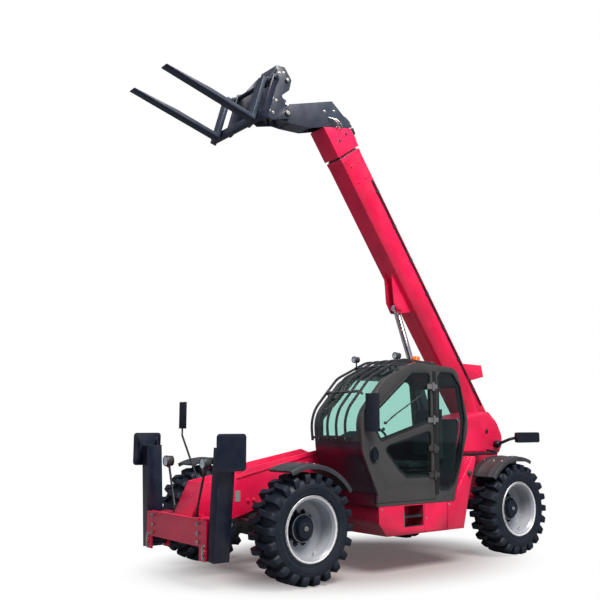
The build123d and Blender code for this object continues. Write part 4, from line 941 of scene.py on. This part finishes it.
def round_lamp(name, centre, radius):
    """A lamp head facing forwards: bezel, faceted bowl with its bulb shield, and a domed lens."""
    bezel = [(-.020, radius), (-.018, radius + .004), (.004, radius + .005), (.009, radius + .002),
             (.009, radius - .005), (.002, radius - .007), (.001, radius - .002)]
    add_piece(f"{name}_bezel", [turned(bezel, centre, X, 44, ring=True)], poly)
    bowl = [(.0006, 0), (.0010, .22 * radius), (.0022, .60 * radius), (.0045, radius - .006),
            (.0004, radius - .004), (.0003, 0)]
    shield = [(.001, 0), (.001, .22 * radius), (.0045, .20 * radius), (.0055, .12 * radius), (.0055, 0)]
    add_piece(f"{name}_reflector", [turned(bowl, centre, X, 44), turned(shield, centre, X, 24)], reflector)
    dome = [(.006 + .010 * cos(a), (radius - .006) * sin(a)) for a in np.linspace(0, pi / 2, 7)]
    dome += [(.0065, radius - .007), (.0080, .5 * radius), (.0115, 0)]
    add_piece(f"{name}_lens", [turned(dome, centre, X, 44)], lens_glass)


for k, y in enumerate((.340, 1.083)):
    round_lamp(f"roof_lamp_{k + 1}", at(.385, y, 2.510), .038)
for hand, side in hands.items():
    place, foot = at(2.640, side * .413, 1.272), at(2.600, side * .25, 0)
    round_lamp(f"head_lamp_{hand}", place, .058)
    shell = [turned([(-.078, 0), (-.078, .018), (-.070, .040), (-.058, .056), (-.050, .0595), (-.010, .0595),
                     (-.010, .050), (-.030, .050), (-.030, 0)], place, X, 40),
             disc(place - (.040, 0, .064), Z, -.012, .012, .022, .003, 24)]
    add_piece(f"head_lamp_{hand}_shell", shell, poly)
    plate = [level(soft_rect(-.045, -.045, .045, .045, .012), .7005, .7065, foot)]
    plate += bolts([foot + (dx, dy, .700) for dx in (-.03, .03) for dy in (-.03, .03)], Z, .014, .008, .002)
    add_piece(f"head_lamp_{hand}_foot", plate, chassis_black)
amber = Finish("amber_lens", "orange_plastic").principled((0.95, 0.16, 0.005), 0.16, coat=0.6)
amber.put(amber.inputs["Emission Color"], (1.0, 0.17, 0.01))
amber.put(amber.inputs["Emission Strength"], 0.25)
finish_node("beacon", amber)
spot = at(-.210, .852, 0)
lens = [(2.460, 0), (2.460, .051)]
for k in range(15):
    lens += [(2.464 + .0048 * k, .0512), (2.466 + .0048 * k, .0532)]
lens += [(2.536 + .016 * sin(a), .050 * cos(a)) for a in np.linspace(0, pi / 2, 8)]
add_piece("beacon_lens", [turned(lens, spot, Z, 44)], amber)
foot = [(2.424, 0), (2.424, .050), (2.432, .056), (2.458, .057), (2.464, .054), (2.464, 0)]
add_piece("beacon_base", [turned(foot, spot, Z, 44)], poly)

# ---- mirrors ----
# Black moulded heads with rounded shells on bent tube arms; each has a flat pane on the side that
# faces the driver.
for node, width in (("cab_mirror", .010), ("front_mirror", .010), ("rear_mirror", .008)):
    finish_node(node, mirror_black, width, 3)
head_end = at(.925, 1.168, 0)
head_axis = unit(at(.828, 1.268, 0) - head_end)
away = unit(np.cross(head_axis, Z))
away *= -np.sign(away[0])
pane = prism(soft_rect(.010, 1.628, .129, 2.022, .018), -.001, .0015, away, head_end, head_axis)
add_piece("cab_mirror_pane", [pane], mirror_glass, "door")
feet = [disc(at(.905, skin, z), Y, 0, .006, .024, .0015, 28) for z in (1.740, 1.840)]
add_piece("cab_mirror_feet", feet, chassis_black, "door")
pane = facing(soft_rect(-.678, 1.655, -.582, 1.945, .016), -.0015, .001, mid_x + 2.290)
add_piece("front_mirror_pane", [pane], mirror_glass)
rear_head = rounded(rect(-2.506, 1.444, -2.004, 1.586), [.030, .050, .050, .030], 8) + (mid_x, 0)
add_piece("rear_mirror_head", [prism(rear_head, .956, 1.014)],
          mirror_black, width=.010, segments=3)
rear_pane = soft_rect(-2.490, 1.460, -2.022, 1.570, .030, 6) + (mid_x, 0)
add_piece("rear_mirror_pane", [prism(rear_pane, .9545, .957)], mirror_glass)
rail = [(-.920, .930, 1.286), (-.935, .930, 1.300), (-.980, .930, 1.303), (-1.300, .930, 1.303),
        (-1.600, .930, 1.303), (-1.680, .900, 1.308), (-1.720, .820, 1.330), (-1.730, .696, 1.345)]
add_piece("fender_guard_rail", [pipe([at(*place) for place in rail], .013, 50)], mirror_black)
arm = [(-1.900, .706, 1.420), (-1.905, .760, 1.428), (-1.925, .830, 1.455), (-1.975, .915, 1.495),
       (-2.060, .960, 1.512)]
parts = [pipe([at(*place) for place in arm], .021, 26, 14),
         turned([(-.050, 0), (-.046, .030), (-.028, .047), (0, .054), (.028, .047), (.046, .030), (.050, 0)],
                at(-1.902, .742, 1.424), Y, 28)]
add_piece("rear_mirror_arm", parts, mirror_black)
foot = at(-1.900, .700, 1.420)
parts = [disc(foot, Y, 0, .008, .036, .002, 32)]
parts += bolts(around(foot + .008 * Y, .024, (.8, 2.4, 4.0, 5.5)), Y, .011, .006)
add_piece("rear_mirror_foot", parts, chassis_black)

# ---- inside the cab ----
# A sprung seat with two fabric cushions, a moulded dash with its binnacle, a thick-rimmed steering
# wheel on a gaitered column, a joystick console on the right, and two pedals.
trim = Finish("cab_trim", "black_plastic").principled((0.028, 0.028, 0.030), 0.55, spec=0.4)
trim.gloss(0.45, 0.62, 12, 4).grain(420, 2, 0.15)
finish_node("dashboard", trim, 0.010, 3)
fabric = Finish("seat_fabric", "seat_fabric").principled((0.022, 0.023, 0.026), 0.92, spec=0.2)
fabric.patchy((0.014, 0.015, 0.017), (0.040, 0.041, 0.045), 260, 2, 0.35, 0.65)
fabric.gloss(0.85, 0.98, 40, 3).grain(700, 2, 0.35)


def baked(piece):
    """The mesh that a piece's modifiers make of it; they are taken off the piece."""
    mesh = bpy.data.meshes.new_from_object(piece.evaluated_get(bpy.context.evaluated_depsgraph_get()))
    piece.modifiers.clear()
    return mesh


def corners_of(mesh):
    """A mesh's vertices as rows of (x, y, z)."""
    places = np.empty(3 * len(mesh.vertices))
    mesh.vertices.foreach_get("co", places)
    return places.reshape(-1, 3)


def cushion(name, outline, low, high, cap=0.010):
    """A padded block, its outline given side-on and its width from low to high: remeshed, blown up a little
    as cloth under pressure with no point moving further than cap, then smoothed by one subdivision."""
    points, faces = prism(outline, low, high)
    mesh = bpy.data.meshes.new(name)
    mesh.from_pydata(points, [], faces)
    shape = bmesh.new()
    shape.from_mesh(mesh)
    bmesh.ops.recalc_face_normals(shape, faces=shape.faces)
    bmesh.ops.bevel(shape, geom=list(shape.edges), offset=0.022, segments=3, affect="EDGES")
    shape.to_mesh(mesh)
    shape.free()
    made = bpy.data.objects.new(name, mesh)
    scene.collection.objects.link(made)
    bpy.context.view_layer.objects.active = made
    remesh = made.modifiers.new("even grid", "REMESH")
    remesh.mode = "VOXEL"
    remesh.voxel_size = 0.009
    made.data = baked(made)
    rest = corners_of(made.data)
    cloth = made.modifiers.new("cloth", "CLOTH")
    cloth.settings.use_pressure = True
    cloth.settings.uniform_pressure_force = 4
    cloth.settings.effector_weights.gravity = 0
    cloth.settings.quality = 4
    last = 16                                       # frames of blowing up
    cloth.point_cache.frame_start, cloth.point_cache.frame_end = 1, last
    for frame_number in range(1, last + 1):
        scene.frame_set(frame_number)
    blown = baked(made)
    scene.frame_set(1)
    moved = corners_of(blown) - rest
    far = np.linalg.norm(moved, axis=1, keepdims=True)
    moved *= np.minimum(1, cap / np.maximum(far, 1e-9))
    blown.vertices.foreach_set("co", (rest + moved).ravel())
    made.data = blown
    made.modifiers.new("smoothed", "SUBSURF").levels = 1
    made.data = baked(made)
    made.data.polygons.foreach_set("use_smooth", np.ones(len(made.data.polygons), bool))
    made.data.materials.clear()
    made.data.materials.append(fabric.material)
    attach(made, "chassis")


cushion("seat_cushion", [(mid_x + x, z) for x, z in (
    (-.385, 1.146), (.035, 1.150), (.045, 1.205), (.020, 1.238), (-.160, 1.222), (-.385, 1.232))],
        .500, .950)
cushion("seat_backrest", [(mid_x + x, z) for x, z in (
    (-.500, 1.265), (-.412, 1.265), (-.440, 1.50), (-.497, 1.880), (-.578, 1.880))], .522, .928)
stand = rounded([(-.37, .812), (.01, .812), (-.02, 1.050), (-.34, 1.050)], .02) + (mid_x, 0)
base = [prism(stand, .535, .915)]
for k in range(8):                                      # folds of the bellows round its springs
    half, z = .190 - .012 * (k % 2), 1.050 + .010 * k
    base.append(level(rect(-.18 - half, -half, -.18 + half, half), z, z + .0095, at(0, .725, 0)))
base.append(level(soft_rect(-.405, .500, .035, .950, .03), 1.131, 1.142, at(0, 0, 0)))
back_shell = rounded([(-.600, 1.262), (-.515, 1.262), (-.585, 1.885), (-.600, 1.885)], .006) + (mid_x, 0)
base.append(prism(back_shell, .530, .920))
shell = add_piece("seat_base", base, trim, width=.003)
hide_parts("seat")

# a moulded panel lines the back wall up to the rear window's lower third
lining = prism([(-.735, 1.750), (-.715, 1.760), (-.545, .900), (-.520, .815), (-.535, .815), (-.570, .900)],
               .352, 1.085, origin=at(0, 0, 0))
add_piece("rear_lining", [lining], trim, width=.003)

column = unit((0.547, 0, -0.837))
wheel_hub, wheel_radius = at(.440, .725, 1.606), .175
wheel_up = unit(np.cross(Y, column))
grip = round_section(.0145, 14) * (1, .93)
parts = [swept(around(wheel_hub, wheel_radius, even(64), wheel_up, Y), grip, column, closed=True)]
for a in np.radians((0, 125, 235)):
    spoke = cos(a) * wheel_up + sin(a) * Y
    parts.append(swept([wheel_hub + .03 * spoke + .006 * column, wheel_hub + .10 * spoke + .004 * column,
                        wheel_hub + .168 * spoke], rect(-.016, -.004, .016, .004), column))
parts.append(turned([(-.013, 0), (-.013, .030), (-.008, .040), (.010, .046), (.0135, .046), (.0135, 0)],
                    wheel_hub, column, 40))
parts.append(turned([(-.050, 0), (-.048, .014), (-.036, .020), (-.020, .016), (-.012, .008), (-.002, .008),
                     (-.002, 0)], wheel_hub + wheel_radius * Y, column, 24))
wheel_piece = add_piece("steering_wheel_rim", parts, trim)
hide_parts("steering_wheel")
gaiter = [(.030, .030)]
for k in range(9):
    gaiter += [(.045 + .022 * k, .034 + .003 * k), (.056 + .022 * k, .044 + .003 * k)]
gaiter += [(.250, .062), (.250, .030)]
add_piece("column_gaiter", [turned(gaiter, wheel_hub, column, 32, ring=True)], trim)
binnacle = rounded([(.640, 1.482), (.850, 1.482), (.838, 1.560), (.700, 1.612), (.655, 1.600)], .012)
add_piece("dash_binnacle", [prism(binnacle + (mid_x, 0), .585, .865)], trim, width=.006, segments=3)
dial_face = Finish("dial_face", "black_plastic").principled((0.015, 0.03, 0.035), 0.1)
dials = [turned([(0, 0), (0, r), (.004, r), (.005, r - .003), (.003, r - .006), (.003, 0)],
                at(.650, y, 1.545), (-.93, 0, .36), 28)
         for y, r in ((.655, .030), (.725, .036), (.795, .030))]
add_piece("dash_dials", dials, dial_face)
console = rounded([(-.34, .812), (.26, .812), (.30, 1.20), (.22, 1.285), (-.28, 1.245)], .03) + (mid_x, 0)
add_piece("side_console", [prism(console, .352, .455)], trim, width=.008, segments=3)
stick = [pipe([at(.12, .405, 1.265), at(.125, .405, 1.33), at(.15, .405, 1.41)], .009, 10, 12, X),
         turned([(-.035, 0), (-.030, .014), (0, .021), (.040, .023), (.060, .018), (.068, 0)],
                at(.155, .405, 1.43), (.35, 0, .94), 24),
         turned([(-.004, 0), (0, .050), (.010, .046), (.016, .036), (.026, .036), (.030, .026), (.040, .026),
                 (.044, .014), (.052, .010), (.052, 0)], at(.12, .405, 1.262), (.08, 0, 1), 28)]
add_piece("joystick", stick, trim)
pedals = []
for y, wide in ((.560, .055), (.850, .035)):
    pedals.append(prism(soft_rect(-wide, -.045, wide, .045, .012), 0, .010, (-.77, 0, .64),
                        at(.470, y, .925), Y, (.64, 0, .77)))
    arm = [at(.478, y, .922), at(.540, y, .880), at(.575, y, .850)]
    pedals.append(swept(arm, round_section(.009, 10), Y))
add_piece("pedals", pedals, chassis_black)

# ---- step box, tank and rear cowl ----
# Folded sheet boxes in crimson under and behind the cab: a step recess with a ribbed tread, narrow
# shut lines between panels, a sprayed cowl with a quarter-turn latch over the pivot's left side.
box_paint = paint("box_crimson", "red_paint", crimson, 0.32, 0.08, wear_and_highlight=0.3, dust=0.05)
forwards = box_paint.add("SeparateXYZ", "X", {0: box_paint.add("NewGeometry", "Normal")})
painted_shade = box_paint.span(forwards, 0.30, 0.75, 0, 0.85)           # painted shade: faces turned forwards are darkened towards dark maroon
box_paint.put(box_paint.inputs["Base Color"], box_paint.blend(painted_shade, box_paint.tone, (0.085, 0.008, 0.018)))
for node, finish, width in (("step_box", box_paint, .004), ("rear_tank", red_paint, .005),
                            ("rear_cowl", red_paint, .004)):
    finish_node(node, finish, width)
shut = Finish("shut_line", "black_plastic").principled((0.006, 0.004, 0.005), 0.8)
proud = (skin - .001, skin + .0012)
lines = [prism(rect(x - .0015, .424, x + .0015, .757), *proud, origin=at(0, 0, 0)) for x in (.012, -.388)]
lines.append(prism(rect(-.0015, 0, .0015, .38), *proud, origin=at(-.560, 0, .895), second=(-.33, 0, .944)))
add_piece("box_shut_lines", lines, shut)
tread = []
for z, back in ((.507, 1.010), (.625, 1.060)):
    tread.append(brick(at(.034, back, z), at(.341, skin - .006, z + .006)))
    for x in .046 + .0262 * np.arange(12):
        tread.append(brick(at(x, back + .006, z + .006), at(x + .008, skin - .010, z + .012)))
    tread.append(brick(at(.034, skin - .006, z - .016), at(.341, skin - .002, z + .006)))
add_piece("step_treads", tread, chassis_black, width=.001, segments=1)
edge_strip = brick(at(.347, skin - .001, .520), at(.357, skin + .003, .690))
add_piece("step_edge_strip", [edge_strip], hinge_grey, width=.001)
heads = bolts([at(x, skin, z) for x, z in ((-.032, .586), (-.430, .720), (.700, .720))], Y, .014, .005, .002)
add_piece("box_screws", heads, zinc)
cap_spot = at(-.815, skin, 1.085)
parts = [disc(cap_spot, Y, -.001, .010, .036, .002, 36), disc(cap_spot, Y, .008, .030, .028, .005, 36)]
parts += [disc(place, Y, .010, .026, .005, .002, 10) for place in around(cap_spot, .027, even(8))]
add_piece("tank_cap", parts, poly)
latch_spot = at(-1.735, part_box("rear_cowl")[1].y, 1.600)
parts = [turned([(0, .020), (0, .032), (.004, .032), (.006, .029), (.004, .024), (.004, .020)],
                latch_spot, Y, 32, ring=True),
         disc(latch_spot, Y, 0, .009, .017, .002, 24),
         prism(rect(-.004, -.015, .004, .015), .008, .013, Y, latch_spot)]
add_piece("cowl_latch", parts, chassis_black)

# ---- engine side ----
# The engine stands in a black tray on the right under a crimson pressed cover with three rubber
# catches and a bent pull; the block itself is cast iron.
finish_node("engine_tray", chassis_black, 0.004)
finish_node("engine_cover", red_paint, 0.005, 3)
cast_iron = Finish("cast_iron").principled((0.035, 0.036, 0.038), 0.6, metal=0.6)
cast_iron.gloss(0.5, 0.8, 30, 5).grain(140, 4, 0.4, 0.002)
finish_node("engine", cast_iron, 0.006)
catches = []
for x in (-.70, -.10, .50):
    catches.append(brick(at(x - .016, -1.166, .790), at(x + .016, -1.148, .880)))
    catches.append(brick(at(x - .024, -1.160, .864), at(x + .024, -1.148, .890)))
add_piece("cover_catches", catches, poly, "engine_cover", .004)
pull = pipe([at(x, y, 1.02) for x, y in (
    (.28, -1.149), (.285, -1.185), (.31, -1.192), (.46, -1.192), (.485, -1.185), (.49, -1.149))], .009, 26)
add_piece("cover_pull", [pull], chassis_black, "engine_cover")
heads = bolts([at(x, -1.150, z) for x in (-.93, -.55, -.15, .25, .68) for z in (.455, .715)],
              -Y, .018, .009, .003)
add_piece("tray_bolts", heads, zinc)

# ---- counterweight, rear lamps and hitch ----
# A cast counterweight in satin black across the tail, two round-cornered lamp clusters, a blank
# white plate and a forged pin in the tow jaw.
finish_node("counterweight", chassis_black, 0.012, 3)
finish_node("tow_hitch", chassis_black, 0.003)
tail_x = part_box("counterweight")[0].x
lamp_red = Finish("lamp_red", "orange_plastic").principled((0.55, 0.008, 0.010), 0.14, coat=0.6)
clusters = (    # near and far from the middle, low and high, corner radius, back and front, eased edge
    ("housing", poly, .290, .470, .985, 1.085, .018, -.030, .001, .003),
    ("red", lamp_red, .300, .380, .995, 1.075, .012, -.041, -.029, .004),
    ("amber", amber, .386, .460, .995, 1.075, .012, -.041, -.029, .004))
for hand, side in hands.items():
    for label, finish, near, far, low, high, radius, back, front, width in clusters:
        y0, y1 = sorted((side * near, side * far))
        face = facing(soft_rect(y0, low, y1, high, radius), back, front, tail_x)
        add_piece(f"rear_lamp_{hand}_{label}", [face], finish, width=width)
plate_white = Finish("plate_white", "grey_paint").principled((0.78, 0.78, 0.76), 0.35)
blank = facing(soft_rect(-.130, .800, .130, .930, .012), -.004, .0005, tail_x)
add_piece("rear_plate", [blank], plate_white)
jaw = at(-2.675, 0, 0)
parts = [turned([(-.130, 0), (-.130, .011), (-.120, .0155), (.090, .0155), (.090, .024), (.102, .024),
                 (.104, .010), (.150, .010), (.150, 0)], jaw + .620 * Z, Z, 32),
         swept(around(jaw + .792 * Z, .030, even(28), Y, Z), round_section(.005, 8), X, closed=True)]
add_piece("hitch_pin", parts, zinc)
plate_grey = Finish("plate_grey", "grey_paint").principled((0.20, 0.26, 0.24), 0.35)
blank = prism(soft_rect(-.034, -.060, .034, .060, .006),
              plate_y + .0002, plate_y + .003, Y, at(2.046, 0, .885))
add_piece("maker_plate", [blank], plate_grey)
